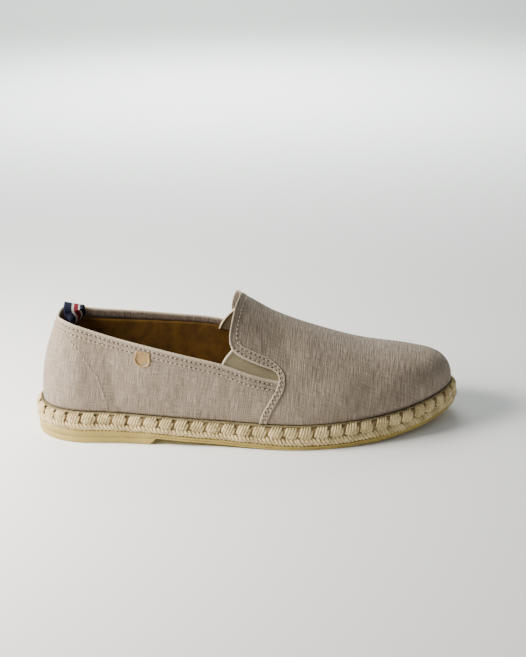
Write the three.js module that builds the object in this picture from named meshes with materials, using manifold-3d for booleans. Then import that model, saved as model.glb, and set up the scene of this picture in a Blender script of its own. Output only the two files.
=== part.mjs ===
// Espadrille, right shoe, men's EU 42.5, as a set of separate sewn and stitched pieces.
// Millimetres, +Z up, +X from heel to toe, the outer (lateral) side of the foot at -Y.
// The origin is on the floor, at the middle of the shoe's length and width.
import * as THREE from 'three';
import { mergeVertices } from 'three/addons/utils/BufferGeometryUtils.js';
import Module from 'manifold-3d';

const wasm = await Module();
wasm.setup();

// ---------------------------------------------------------------- driving dimensions
const LENGTH = 290;
const BALL_WIDTH = 107;
const HEEL_WIDTH = 69;
const HEEL_CENTRE = 40;        // from the back of the heel, where the heel's half ellipse ends
const HEEL_OFFSET = -2;        // the heel stands a little to the outer side
const TOE_START = 225;         // forward of this the stations bunch up towards the tip
const TIP_OFFSET = 10;         // the toe's tip lies towards the big toe

// Plan of the sole, one row for each side of the foot.
const LATERAL = { side: -1, waistAt: 112, waist: 44.6, ballAt: 179, squareness: 1.85, fullness: 1.66 };
const MEDIAL = { side: 1, waistAt: 118, waist: 38, ballAt: 206, squareness: 2.4, fullness: 2.1 };

const GAP = 0.3;               // between pieces that meet
const FEATHER_INSET = 4.3;     // the upper stands this far in from the sole's edge
const UPPER_WALL = 1.8;        // canvas, backing and lining together
const GORE_WALL = 1.0;
const INSOLE_THICKNESS = 3;
const RAND_HEIGHT = 2;
const EDGE_BAND = 8;           // width of the braid and the rand round the edge
const TAB_THICKNESS = 1.2;

const HEEL_BREAST = 79.7;      // front edge of the heel lift
const BREAST_BEVEL = 4.3;      // the lift's front face slopes at 45 degrees
const WAIST_LIFT = 4.3;        // the sole leaves the floor by this in front of the lift
const TREAD_START = 172;       // the forefoot is flat on the floor from here
const TREAD_END = 205;         // to here
const TOE_SPRING = 10.2;

const HEEL_STEPS = 8;
const TOE_STEPS = 10;
const MID_STATIONS = [40, 52, 66, 79.7, 84, 96, 108, 120, 132, 144, 156, 164, 172, 183, 194, 205, 215, 225];
const SECTION_STEPS = [0, 0.07, 0.15, 0.24, 0.33, 0.42, 0.51, 0.6, 0.7, 0.8, 0.9, 1];

// Sections of the last. s is the distance from the back of the heel. The rest are the height and
// the sideways place of the ridge, how far the wall swells out over the sole, and how high
// (side, share of the height) and how wide (crown, share of the width) the curve stays full.
const SECTIONS = [
  { s: 40, ridge: 115, ridgeY: -7, swell: 4.2, side: 0.62, crown: 0.5 },
  { s: 75, ridge: 122.5, ridgeY: -1.5, swell: 7, side: 0.58, crown: 0.68 },
  { s: 110, ridge: 118.7, ridgeY: 0, swell: 7.8, side: 0.57, crown: 0.7 },
  { s: 140, ridge: 92.6, ridgeY: 0.5, swell: 6.5, side: 0.55, crown: 0.62 },
  { s: 150, ridge: 85.7, ridgeY: 0.7, swell: 5.1, side: 0.54, crown: 0.575 },
  { s: 165, ridge: 76.7, ridgeY: 1, swell: 3, side: 0.52, crown: 0.5 },
  { s: 195, ridge: 63.8, ridgeY: 2, swell: 2, side: 0.56, crown: 0.52 },
  { s: 225, ridge: 53.7, ridgeY: 4, swell: 1.5, side: 0.6, crown: 0.55 },
  { s: 255, ridge: 48, ridgeY: 8, swell: 1.5, side: 0.62, crown: 0.58 },
  { s: 275, ridge: 44.2, ridgeY: 9.5, swell: 1, side: 0.62, crown: 0.6 },
];
const HEEL_BACK = { swell: 1, side: 0.52, crown: 0 };
const TOE_ROUND = 268;         // the ridge drops to the tip in a round nose from here
const TIP_HEIGHT = 2;
const SWELL_FADE = 255;

// Height of the feather line, where the upper meets the sole.
const FEATHER = [
  { s: 0, z: 21.8 }, { s: 30, z: 21.8 }, { s: 78, z: 20 }, { s: 125, z: 17.8 },
  { s: 165, z: 17.1 }, { s: 200, z: 17.1 }, { s: 245, z: 19.2 }, { s: 290, z: 25.1 },
];
// Top of the rubber under the braid.
const RUBBER_TOP = [
  { s: 0, z: 9.6 }, { s: 50, z: 8.9 }, { s: 84, z: 7.9 }, { s: 125, z: 5.2 },
  { s: 170, z: 3.1 }, { s: 205, z: 3.1 }, { s: 245, z: 5.5 }, { s: 290, z: 13.3 },
];
// Edge of the quarters round the ankle, falling forward under the gores. The two sides part
// behind the heel, at COLLAR_SPLIT.
const COLLAR_LATERAL = [
  { s: -12, z: 83.2 }, { s: 14, z: 83 }, { s: 19.6, z: 82.7 }, { s: 24.8, z: 82.8 }, { s: 36, z: 80.2 },
  { s: 43.3, z: 77.9 }, { s: 50, z: 75.9 }, { s: 63, z: 72.5 }, { s: 89, z: 66.8 }, { s: 115, z: 60.7 },
  { s: 129.3, z: 56.9 }, { s: 147, z: 50.4 }, { s: 160, z: 46.5 }, { s: 165.2, z: 45.4 },
];
const COLLAR_MEDIAL = [
  { s: -12, z: 83.2 }, { s: 14, z: 83 }, { s: 19.6, z: 82.4 }, { s: 26, z: 79.2 }, { s: 32, z: 76.9 },
  { s: 40.7, z: 75.1 }, { s: 60, z: 72.3 }, { s: 80, z: 69.4 }, { s: 101, z: 66.4 }, { s: 115, z: 64.7 },
  { s: 127, z: 62.3 }, { s: 137, z: 58.4 }, { s: 147, z: 53.4 }, { s: 160, z: 47.5 }, { s: 165.2, z: 45.7 },
];
const COLLAR_SPLIT = -3;
// Rear edge of the vamp, from the gore's front corner up to the throat.
const VAMP_EDGE = [
  { s: 166, z: 47.8 }, { s: 163.8, z: 50.6 }, { s: 147.4, z: 57.9 }, { s: 138.6, z: 62.9 },
  { s: 134.8, z: 67.8 }, { s: 134.3, z: 73.5 }, { s: 135.8, z: 81 },
  { s: 137.6, z: 87 }, { s: 139.3, z: 90.3 }, { s: 141.6, z: 92.2 }, { s: 146.5, z: 93.4 },
];
// Elastic gores, a little larger than the slots that they close.
const GORE_LATERAL = [
  { s: 128.6, z: 53.6 }, { s: 148, z: 47.6 }, { s: 168.5, z: 42.4 },
  { s: 168.5, z: 52 }, { s: 150, z: 60.2 }, { s: 138.8, z: 66 },
];
const GORE_MEDIAL = [
  { s: 125, z: 55 }, { s: 148, z: 49 }, { s: 168.5, z: 43 },
  { s: 168.5, z: 52 }, { s: 150, z: 63 }, { s: 137.5, z: 71.5 },
];
// Side view of the leather tab, a D that hangs from a straight top.
const TAB = { s: 77.2, z: 65.3, width: 10.4, drop: 10.2, slope: -0.08 };
// Pull loop, a folded ribbon. Its legs start on the heel's lining, lean forward and turn a quarter
// of a circle on the way up, so that the fold on top faces the outer side. It slopes to the front.
const LOOP_BASE = { s: 17.8, z: 67 };
const LOOP_TOP = { s: 29.7, z: 87.6 };
const LOOP_Y = -3;
const LOOP_SPREAD = 3.6;       // half the gap between the legs at the top
const LOOP_PINCH = 0.8;        // and at the base
const LOOP_SLOPE = 0.2;        // fall of the fold along the shoe
const LOOP_STEPS = 14;
const RIBBON_WIDTH = 13.2;
const RIBBON_THICKNESS = 1.1;

// ---------------------------------------------------------------- curves in s
const mix = (a, b, t) => a + (b - a) * t;
const clamp01 = (t) => Math.min(Math.max(t, 0), 1);

// Cubic from a to b with end slopes, t from 0 to 1 over the given span.
function hermite(t, a, b, slopeA, slopeB, span) {
  const t2 = t * t;
  const t3 = t2 * t;
  const ends = (2 * t3 - 3 * t2 + 1) * a + (3 * t2 - 2 * t3) * b;
  return ends + span * ((t3 - 2 * t2 + t) * slopeA + (t3 - t2) * slopeB);
}

// Smooth reading of one column of a table at s.
function lookup(table, s, column) {
  const last = table.length - 1;
  const x = Math.min(Math.max(s, table[0].s), table[last].s);
  let i = 0;
  while (i < last - 1 && x > table[i + 1].s) {
    i += 1;
  }
  const slope = (k) => {
    const a = table[Math.max(k - 1, 0)];
    const b = table[Math.min(k + 1, last)];
    return (b[column] - a[column]) / (b.s - a.s);
  };
  const span = table[i + 1].s - table[i].s;
  const t = (x - table[i].s) / span;
  return hermite(t, table[i][column], table[i + 1][column], slope(i), slope(i + 1), span);
}

const featherHeight = (s) => lookup(FEATHER, s, 'z');
const rubberTop = (s) => lookup(RUBBER_TOP, s, 'z');

// Underside of the rubber: heel lift, arch, flat tread, toe spring.
function soleBottom(s) {
  if (s <= HEEL_BREAST) {
    return 0;
  }
  const archStart = HEEL_BREAST + BREAST_BEVEL;
  if (s < TREAD_START) {
    const q = clamp01((s - archStart) / (TREAD_START - archStart));
    return WAIST_LIFT * (1 - q) ** 1.5;
  }
  return TOE_SPRING * clamp01((s - TREAD_END) / (LENGTH - TREAD_END)) ** 2;
}

// Half width of the plan at s, drawn in by inset.
function sideY(s, inset, foot) {
  const { side, waistAt, waist, ballAt, squareness, fullness } = foot;
  const heelY = HEEL_OFFSET + side * (HEEL_WIDTH / 2 - inset);
  const waistY = side * (waist - inset);
  const ballY = side * (BALL_WIDTH / 2 - inset);
  const slope = 0.5 * (ballY - heelY) / (ballAt - HEEL_CENTRE);
  if (s < waistAt) {
    const span = waistAt - HEEL_CENTRE;
    return hermite(clamp01((s - HEEL_CENTRE) / span), heelY, waistY, 0, slope, span);
  }
  if (s < ballAt) {
    const span = ballAt - waistAt;
    return hermite((s - waistAt) / span, waistY, ballY, slope, 0, span);
  }
  const q = clamp01((s - ballAt) / (LENGTH - inset - ballAt));
  return TIP_OFFSET + (ballY - TIP_OFFSET) * (1 - q ** squareness) ** (1 / fullness);
}

// ---------------------------------------------------------------- stations round the plan
const stations = [];
for (let i = 0; i < HEEL_STEPS; i += 1) {
  stations.push({ zone: 'heel', angle: (i / HEEL_STEPS) * Math.PI / 2 });
}
for (const s of MID_STATIONS) {
  stations.push({ zone: 'mid', s });
}
for (let i = 1; i <= TOE_STEPS; i += 1) {
  stations.push({ zone: 'toe', angle: (i / TOE_STEPS) * Math.PI / 2 });
}

// Point of the plan at a station, drawn in by inset.
function edgePoint(station, inset, foot) {
  if (station.zone === 'heel') {
    const reach = HEEL_CENTRE - inset;
    const half = HEEL_WIDTH / 2 - inset;
    return {
      s: HEEL_CENTRE - reach * Math.cos(station.angle),
      y: HEEL_OFFSET + foot.side * half * Math.sin(station.angle),
    };
  }
  const s = station.zone === 'mid'
    ? station.s
    : TOE_START + (LENGTH - inset - TOE_START) * Math.sin(station.angle);
  return { s, y: sideY(s, inset, foot) };
}

// Closed loop of points: outer side from heel to toe, then the inner side back.
function loopOf(pointAt) {
  const tip = stations.length - 1;
  const outer = stations.map((station) => pointAt(station, LATERAL));
  const inner = stations.slice(1, tip).map((station) => pointAt(station, MEDIAL));
  return outer.concat(inner.reverse());
}

const planLoop = (inset, height) => loopOf((station, foot) => {
  const { s, y } = edgePoint(station, inset, foot);
  return [s - LENGTH / 2, y, height(s)];
});

// ---------------------------------------------------------------- closed meshes from loops
function meshOf(loops, faces) {
  const geometry = new THREE.BufferGeometry();
  geometry.setAttribute('position', new THREE.Float32BufferAttribute(loops.flat(2), 3));
  geometry.setIndex(faces.flat());
  return weld(geometry);
}

// Shared vertices are merged, and triangles that this leaves without area are dropped.
function weld(geometry) {
  geometry.deleteAttribute('normal');
  geometry.deleteAttribute('uv');
  const merged = mergeVertices(geometry, 1e-4);
  const index = merged.index.array;
  const kept = [];
  for (let i = 0; i < index.length; i += 3) {
    const [a, b, c] = [index[i], index[i + 1], index[i + 2]];
    if (a !== b && b !== c && c !== a) {
      kept.push(a, b, c);
    }
  }
  merged.setIndex(kept);
  return merged;
}

function bridge(faces, from, to, count) {
  for (let i = 0; i < count; i += 1) {
    const j = (i + 1) % count;
    faces.push([from + i, from + j, to + j], [from + i, to + j, to + i]);
  }
}

// Lid over one loop, by strips from its outer side to its inner side.
function lid(faces, start, count, up) {
  const half = count / 2;
  for (let i = 0; i < half; i += 1) {
    const a = start + i;
    const b = start + i + 1;
    const c = start + (count - i - 1);
    const d = start + ((count - i) % count);
    const [first, second] = [[a, b, c], [a, c, d]];
    faces.push(up ? first : [...first].reverse(), up ? second : [...second].reverse());
  }
}

// Solid from loops stacked bottom to top.
function stack(loops) {
  const count = loops[0].length;
  const faces = [];
  lid(faces, 0, count, false);
  for (let k = 0; k + 1 < loops.length; k += 1) {
    bridge(faces, k * count, (k + 1) * count, count);
  }
  lid(faces, (loops.length - 1) * count, count, true);
  return meshOf(loops, faces);
}

// Solid ring from loops that go once round its section, up the outside and down the inside.
function ring(loops) {
  const count = loops[0].length;
  const faces = [];
  loops.forEach((_, k) => bridge(faces, k * count, ((k + 1) % loops.length) * count, count));
  return meshOf(loops, faces);
}

// ---------------------------------------------------------------- the last's form
const bezier = (t, a, b, c, d) => {
  const r = 1 - t;
  return r ** 3 * a + 3 * r * r * t * b + 3 * r * t * t * c + t ** 3 * d;
};

function ridgeAt(s, inset) {
  const tipS = LENGTH - FEATHER_INSET - inset;
  const q = clamp01((s - TOE_ROUND) / (tipS - TOE_ROUND));
  const tipZ = featherHeight(tipS) + TIP_HEIGHT;
  const z = lookup(SECTIONS, s, 'ridge') - inset;
  return {
    y: mix(lookup(SECTIONS, s, 'ridgeY'), TIP_OFFSET, q),
    z: mix(tipZ, z, Math.sqrt(1 - q ** 2.4)),
  };
}

// Point of the form at a station: t runs from the feather line, 0, to the ridge, 1.
function formPoint(station, t, foot, inset) {
  const edge = edgePoint(station, FEATHER_INSET + inset, foot);
  const isHeel = station.zone === 'heel';
  const backness = isHeel ? Math.cos(station.angle) ** 2 : 0;
  const at = isHeel ? HEEL_CENTRE : edge.s;
  const tipS = LENGTH - FEATHER_INSET - inset;
  const fade = Math.sqrt(1 - clamp01((edge.s - SWELL_FADE) / (tipS - SWELL_FADE)) ** 2);
  const swell = mix(lookup(SECTIONS, at, 'swell'), HEEL_BACK.swell, backness) * fade;
  const side = mix(lookup(SECTIONS, at, 'side'), HEEL_BACK.side, backness);
  const crown = mix(lookup(SECTIONS, at, 'crown'), HEEL_BACK.crown, backness);
  const ridge = ridgeAt(at, inset);
  const width = Math.hypot(at - edge.s, ridge.y - edge.y);
  const base = featherHeight(edge.s);
  const height = ridge.z - base;
  const inward = bezier(t, 0, -swell, width * (1 - crown), width);
  const up = bezier(t, 0, side * height, height, height);
  const share = width > 0 ? inward / width : 0;
  return [
    mix(edge.s, at, share) - LENGTH / 2,
    mix(edge.y, ridge.y, share),
    base + up,
  ];
}

// Closed solid of the form, drawn in by inset and with a skirt below the feather line.
function form(inset, skirt) {
  const loops = SECTION_STEPS.map((t) => loopOf((station, foot) => formPoint(station, t, foot, inset)));
  if (skirt > 0) {
    loops.unshift(loops[0].map(([x, y, z]) => [x, y, z - skirt]));
  }
  const count = loops[0].length;
  const faces = [];
  lid(faces, 0, count, false);
  for (let k = 0; k + 1 < loops.length; k += 1) {
    bridge(faces, k * count, (k + 1) * count, count);
  }
  return meshOf(loops, faces);
}

// ---------------------------------------------------------------- joining and cutting
function solidOf(geometry) {
  return new wasm.Manifold(new wasm.Mesh({
    numProp: 3,
    vertProperties: new Float32Array(geometry.attributes.position.array),
    triVerts: new Uint32Array(geometry.index.array),
  }));
}

function geometryOf(solid) {
  const mesh = solid.getMesh();
  const geometry = new THREE.BufferGeometry();
  geometry.setAttribute('position', new THREE.BufferAttribute(mesh.vertProperties, 3));
  geometry.setIndex(new THREE.BufferAttribute(mesh.triVerts, 1));
  return geometry;
}

const SKIRT = 5;
const shell = (outer, inner) => solidOf(form(outer, 0)).subtract(solidOf(form(inner, SKIRT)));

// Prism of a side-view shape, drawn in s and z, between two values of y.
function prism(shape, yFrom, yTo, curveSegments) {
  const geometry = new THREE.ExtrudeGeometry(shape, { depth: yTo - yFrom, bevelEnabled: false, curveSegments });
  geometry.rotateX(Math.PI / 2);
  geometry.translate(-LENGTH / 2, yTo, 0);
  return solidOf(weld(geometry));
}

const sidePoints = (rows) => rows.map(({ s, z }) => new THREE.Vector2(s, z));
const FAR = 100;
const ABOVE = 150;

// ---------------------------------------------------------------- the pieces
function outsole() {
  const CHAMFER = 0.8;
  return stack([
    planLoop(0.2 + CHAMFER, soleBottom),
    planLoop(0.2, (s) => soleBottom(s) + CHAMFER),
    planLoop(0.2, rubberTop),
  ]);
}

function juteMidsole() {
  const inset = EDGE_BAND + GAP;
  return stack([
    planLoop(inset, (s) => rubberTop(s) + GAP),
    planLoop(inset, (s) => featherHeight(s) - GAP),
  ]);
}

function juteBraid() {
  const SHOULDER = 1.3;
  const low = (s) => rubberTop(s) + GAP;
  const high = (s) => featherHeight(s) - GAP - RAND_HEIGHT - GAP;
  const level = (share) => (s) => mix(low(s), high(s), share);
  return ring([
    planLoop(SHOULDER, low),
    planLoop(0, level(0.25)),
    planLoop(0, level(0.75)),
    planLoop(SHOULDER, high),
    planLoop(EDGE_BAND, high),
    planLoop(EDGE_BAND, low),
  ]);
}

function rand() {
  const EDGE = 1.8;
  const low = (s) => featherHeight(s) - GAP - RAND_HEIGHT;
  const high = (s) => featherHeight(s) - GAP;
  return ring([
    planLoop(EDGE, low),
    planLoop(EDGE, high),
    planLoop(EDGE_BAND, high),
    planLoop(EDGE_BAND, low),
  ]);
}

function insole() {
  const inset = FEATHER_INSET + UPPER_WALL + GAP + 0.2;
  return stack([
    planLoop(inset, featherHeight),
    planLoop(inset, (s) => featherHeight(s) + INSOLE_THICKNESS),
  ]);
}

// Side view of the opening: along the collar, up the vamp's edge and away above.
function opening(collar) {
  const shape = new THREE.Shape();
  shape.moveTo(collar[0].s, collar[0].z);
  shape.splineThru(sidePoints(collar.slice(1)));
  shape.splineThru(sidePoints(VAMP_EDGE));
  shape.lineTo(VAMP_EDGE.at(-1).s, ABOVE);
  shape.lineTo(collar[0].s, ABOVE);
  return shape;
}

// One hollow solid: vamp and quarters, cut open at the collar, the throat and both gores.
function upper() {
  const lateral = prism(opening(COLLAR_LATERAL), -FAR, COLLAR_SPLIT, 3);
  const medial = prism(opening(COLLAR_MEDIAL), COLLAR_SPLIT, FAR, 3);
  return geometryOf(shell(0, UPPER_WALL).subtract(lateral.add(medial)));
}

function gore(foot, rows) {
  const outline = new THREE.Shape(sidePoints(rows));
  const inner = UPPER_WALL + GAP + GORE_WALL;
  const [from, to] = foot.side < 0 ? [-FAR, 0] : [0, FAR];
  return geometryOf(shell(UPPER_WALL + GAP, inner).intersect(prism(outline, from, to, 1)));
}

const loopTurn = (share) => Math.PI / 2 * share ** 2;

// Centre of the ribbon at a share of a leg's height.
function loopLeg(share, sign) {
  const turn = loopTurn(share);
  const normal = [Math.cos(turn), -Math.sin(turn)];
  const reach = sign * mix(LOOP_PINCH, LOOP_SPREAD, share);
  const s = mix(LOOP_BASE.s, LOOP_TOP.s, 1 - (1 - share) ** 3);
  const crown = LOOP_TOP.z - LOOP_SPREAD - RIBBON_THICKNESS / 2;
  const z = mix(LOOP_BASE.z, crown, share);
  return [s - LENGTH / 2 + reach * normal[0], LOOP_Y + reach * normal[1], z];
}

function pullLoop() {
  const shares = Array.from({ length: LOOP_STEPS + 1 }, (_, k) => k / LOOP_STEPS);
  const arch = Array.from({ length: 9 }, (_, k) => {
    const angle = (k + 1) * Math.PI / 10;
    const [x, , z] = loopLeg(1, 0);
    return [x, LOOP_Y + LOOP_SPREAD * Math.cos(angle), z + LOOP_SPREAD * Math.sin(angle)];
  });
  const path = [
    ...shares.map((share) => loopLeg(share, -1)),
    ...arch,
    ...shares.toReversed().map((share) => loopLeg(share, 1)),
  ].map((point) => new THREE.Vector3(...point));
  const legShare = [...shares, ...arch.map(() => 1), ...shares.toReversed()];
  const loops = path.map((point, k) => {
    const share = legShare[k];
    const turn = loopTurn(share);
    const heading = path[Math.min(k + 1, path.length - 1)].clone().sub(path[Math.max(k - 1, 0)]).normalize();
    const wide = new THREE.Vector3(Math.sin(turn), Math.cos(turn), -LOOP_SLOPE * Math.sin(turn));
    wide.addScaledVector(heading, -wide.dot(heading)).normalize();
    const thick = new THREE.Vector3().crossVectors(heading, wide);
    return [[-1, -1], [1, -1], [1, 1], [-1, 1]].map(([a, b]) => point.clone()
      .addScaledVector(wide, a * RIBBON_WIDTH / 2)
      .addScaledVector(thick, b * RIBBON_THICKNESS / 2)
      .toArray());
  });
  const faces = [];
  for (let k = 0; k + 1 < loops.length; k += 1) {
    bridge(faces, k * 4, (k + 1) * 4, 4);
  }
  const last = (loops.length - 1) * 4;
  faces.push([2, 1, 0], [3, 2, 0], [last, last + 1, last + 2], [last, last + 2, last + 3]);
  return meshOf(loops, faces);
}

function sideTab() {
  const { s, z, width, drop, slope } = TAB;
  const half = width / 2;
  const shape = new THREE.Shape();
  shape.moveTo(s - half, z - slope * half);
  shape.lineTo(s - half, z - drop + half);
  shape.absarc(s, z - drop + half, half, Math.PI, 2 * Math.PI, false);
  shape.lineTo(s + half, z + slope * half);
  const skin = shell(-GAP - TAB_THICKNESS, -GAP);
  return geometryOf(skin.intersect(prism(shape, -FAR, 0, 10)));
}

// ---------------------------------------------------------------- finishes and assembly
const canvas = { color: 0xa99b8c, roughness: 0.95 };
const rubber = { color: 0xd9c99a, roughness: 0.6 };
const jute = { color: 0xcbb994, roughness: 0.95 };
const juteEdge = { color: 0xa89a78, roughness: 0.95 };
const suede = { color: 0x8a6436, roughness: 0.9 };
const elastic = { color: 0x8e8a70, roughness: 0.9 };
const ribbon = { color: 0x2a2f45, roughness: 0.8 };
const leather = { color: 0xcdb493, roughness: 0.6 };

const pieces = [
  ['outsole', outsole(), rubber],
  ['jute_midsole', juteMidsole(), jute],
  ['jute_braid', juteBraid(), jute],
  ['rand', rand(), juteEdge],
  ['insole', insole(), suede],
  ['upper', upper(), canvas],
  ['gore_lateral', gore(LATERAL, GORE_LATERAL), elastic],
  ['gore_medial', gore(MEDIAL, GORE_MEDIAL), elastic],
  ['pull_loop', pullLoop(), ribbon],
  ['side_tab', sideTab(), leather],
];

const espadrille = new THREE.Group();
for (const [name, geometry, finish] of pieces) {
  const mesh = new THREE.Mesh(geometry, new THREE.MeshStandardMaterial({ ...finish, metalness: 0 }));
  mesh.name = name;
  espadrille.add(mesh);
}

export default espadrille;
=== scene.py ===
import math
import bpy
import numpy as np
from mathutils import Matrix, Vector


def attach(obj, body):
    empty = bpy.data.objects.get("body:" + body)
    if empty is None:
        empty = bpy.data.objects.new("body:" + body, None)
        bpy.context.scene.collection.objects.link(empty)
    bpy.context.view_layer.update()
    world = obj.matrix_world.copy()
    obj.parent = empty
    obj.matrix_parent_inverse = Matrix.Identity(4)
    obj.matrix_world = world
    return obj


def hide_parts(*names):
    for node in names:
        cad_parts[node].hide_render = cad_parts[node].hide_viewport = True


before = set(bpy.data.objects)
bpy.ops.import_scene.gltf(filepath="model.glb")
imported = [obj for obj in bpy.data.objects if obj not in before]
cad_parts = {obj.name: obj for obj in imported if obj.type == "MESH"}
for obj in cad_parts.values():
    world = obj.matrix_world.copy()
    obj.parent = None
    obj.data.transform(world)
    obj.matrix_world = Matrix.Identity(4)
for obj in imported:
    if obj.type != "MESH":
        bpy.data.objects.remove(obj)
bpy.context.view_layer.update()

# ============================================================ studio
# A pale seamless floor, a low softbox close to the heel, two lamps over the floor behind and a plain
# room. The heel is lightest, and the near side of the toe stands in its own shade.
# A long lens stands low on the outer side of the shoe, rolled by one degree.
LENS_MM = 64.66
SENSOR_MM = 36
CAMERA_TARGET = Vector((0.0110, 0, 0.0664))
CAMERA_DISTANCE = 0.8002
CAMERA_AZIMUTH = 0.4
CAMERA_ELEVATION = 19.8
CAMERA_ROLL = -1.09
FLOOR_SIZE = 24


def linear(hex_colour):
    """sRGB hex to linear RGBA."""
    parts = [int(hex_colour[i:i + 2], 16) / 255 for i in (1, 3, 5)]
    return [c / 12.92 if c <= 0.04045 else ((c + 0.055) / 1.055) ** 2.4 for c in parts] + [1]


def feed(tree, node, inputs):
    """Fill a node's inputs: each gets a value or is linked from a socket."""
    for name, value in inputs.items():
        if isinstance(value, bpy.types.NodeSocket):
            tree.links.new(value, node.inputs[name])
        else:
            node.inputs[name].default_value = value


def new_material(name):
    """An empty material's tree and its Principled shader, already joined to the output."""
    material = bpy.data.materials.new(name)
    material.use_nodes = True
    tree = material.node_tree
    shader = next(n for n in tree.nodes if n.type == "BSDF_PRINCIPLED")
    return material, tree, shader


azimuth, elevation, roll = (math.radians(a) for a in (CAMERA_AZIMUTH, CAMERA_ELEVATION, CAMERA_ROLL))
back = Vector((math.sin(azimuth) * math.cos(elevation), -math.cos(azimuth) * math.cos(elevation),
               math.sin(elevation)))
level = Vector((math.cos(azimuth), math.sin(azimuth), 0))
upright = back.cross(level)
right = level * math.cos(roll) + upright * math.sin(roll)
above = back.cross(right)
camera = bpy.data.objects.new("camera", bpy.data.cameras.new("camera"))
camera.data.lens = LENS_MM
camera.data.sensor_fit = "VERTICAL"
camera.data.sensor_height = SENSOR_MM
camera.data.clip_end = 2 * FLOOR_SIZE
camera.matrix_world = Matrix.Translation(CAMERA_TARGET + back * CAMERA_DISTANCE) @ Matrix(
    (right, above, back)).transposed().to_4x4()
bpy.context.collection.objects.link(camera)
bpy.context.scene.camera = camera


def light(kind, name, place, target, power, tint, **settings):
    """A lamp of the given kind that faces the target."""
    lamp = bpy.data.objects.new(name, bpy.data.lights.new(name, kind))
    lamp.data.energy = power
    lamp.data.color = linear(tint)[:3]
    for setting, value in settings.items():
        setattr(lamp.data, setting, value)
    lamp.location = place
    lamp.rotation_euler = (Vector(target) - Vector(place)).to_track_quat("-Z", "Y").to_euler()
    bpy.context.collection.objects.link(lamp)


light("AREA", "heel_softbox", (-0.48, -0.07, 0.35), (-0.02, 0, 0.03), 11.8, "#fff8f0", size=0.3)
light("AREA", "backdrop_lamp", (-0.1, 1.5, 1.1), (-0.1, 1.5, 0), 30, "#f6fff8", size=1.0,
      spread=math.radians(120))
light("AREA", "far_lamp", (-0.4, 3.7, 1.6), (-0.4, 3.7, 0), 70, "#f6fff8", size=2.4)

world = bpy.data.worlds.new("room")
world.use_nodes = True
world.node_tree.nodes["Background"].inputs["Color"].default_value = linear("#eef1f2")
world.node_tree.nodes["Background"].inputs["Strength"].default_value = 0.38
bpy.context.scene.world = world

half_floor = FLOOR_SIZE / 2
floor_mesh = bpy.data.meshes.new("floor")
floor_mesh.from_pydata([(-half_floor, -half_floor, 0), (half_floor, -half_floor, 0),
                        (half_floor, half_floor, 0), (-half_floor, half_floor, 0)], [], [(0, 1, 2, 3)])
floor = bpy.data.objects.new("floor", floor_mesh)
bpy.context.collection.objects.link(floor)
# Matt studio paper: dull and nearly white, so that it takes only soft shadows.
floor_material, tree, shader = new_material("matt_studio_paper")
feed(tree, shader, {"Base Color": linear("#f0f1f0"), "Roughness": 0.95})
floor_mesh.materials.append(floor_material)

# ============================================================ outsole
# One sheet of pale natural rubber under the whole foot, with a low heel lift of the same rubber
# cemented under it. Its side is cut flush with the braid, and the lift's front edge is bevelled.
MM = 0.001               # the shoe's sizes are in mm, the scene's in metres
LENGTH = 290
BALL_WIDTH = 107
HEEL_WIDTH = 69
HEEL_CENTRE = 40
HEEL_OFFSET = -2
TOE_START = 225
TIP_OFFSET = 10
LATERAL = dict(side=-1, waist_at=112, waist=44.6, ball_at=179, squareness=1.85, fullness=1.66)
MEDIAL = dict(side=1, waist_at=118, waist=38, ball_at=206, squareness=2.4, fullness=2.1)
HEEL_BREAST = 79.7
BREAST_BEVEL = 4.3
WAIST_LIFT = 4.3
TREAD_START = 172
TREAD_END = 205
TOE_SPRING = 10.2
RUBBER_TOP = [
    dict(s=0, z=9.6), dict(s=50, z=8.9), dict(s=84, z=7.9), dict(s=125, z=5.2),
    dict(s=170, z=3.1), dict(s=205, z=3.1), dict(s=245, z=5.5), dict(s=290, z=13.3),
]
JOINT_LINE = 4.6         # height of the cemented joint over the lift
JOINT_DEPTH = 0.35
EDGE_ROUND = 0.9
RUBBER_CLOUDS = 16.7
RUBBER_PEBBLE = 0.71     # really about 0.3 mm, too fine to show


def hermite(t, a, b, slope_a, slope_b, span):
    """Cubic from a to b with end slopes, t from 0 to 1 over the span."""
    ends = (2 * t**3 - 3 * t**2 + 1) * a + (3 * t**2 - 2 * t**3) * b
    return ends + span * ((t**3 - 2 * t**2 + t) * slope_a + (t**3 - t**2) * slope_b)


def lookup(table, s, column):
    """Smooth reading of one column of a table at s."""
    x = np.array([row["s"] for row in table], float)
    y = np.array([row[column] for row in table], float)
    before, after = np.r_[0, np.arange(len(x) - 1)], np.r_[np.arange(1, len(x)), len(x) - 1]
    slope = (y[after] - y[before]) / (x[after] - x[before])
    s = np.clip(s, x[0], x[-1])
    i = np.clip(np.searchsorted(x, s, side="right") - 1, 0, len(x) - 2)
    span = x[i + 1] - x[i]
    return hermite((s - x[i]) / span, y[i], y[i + 1], slope[i], slope[i + 1], span)


def sole_bottom(s):
    """Underside of the rubber: lift, arch, flat tread, toe spring."""
    arch_start = HEEL_BREAST + BREAST_BEVEL
    q = np.clip((s - arch_start) / (TREAD_START - arch_start), 0, 1)
    bevel = np.clip((s - HEEL_BREAST) / BREAST_BEVEL, 0, 1)
    spring = TOE_SPRING * np.clip((s - TREAD_END) / (LENGTH - TREAD_END), 0, 1) ** 2
    return WAIST_LIFT * (1 - q) ** 1.5 * bevel + spring


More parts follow.
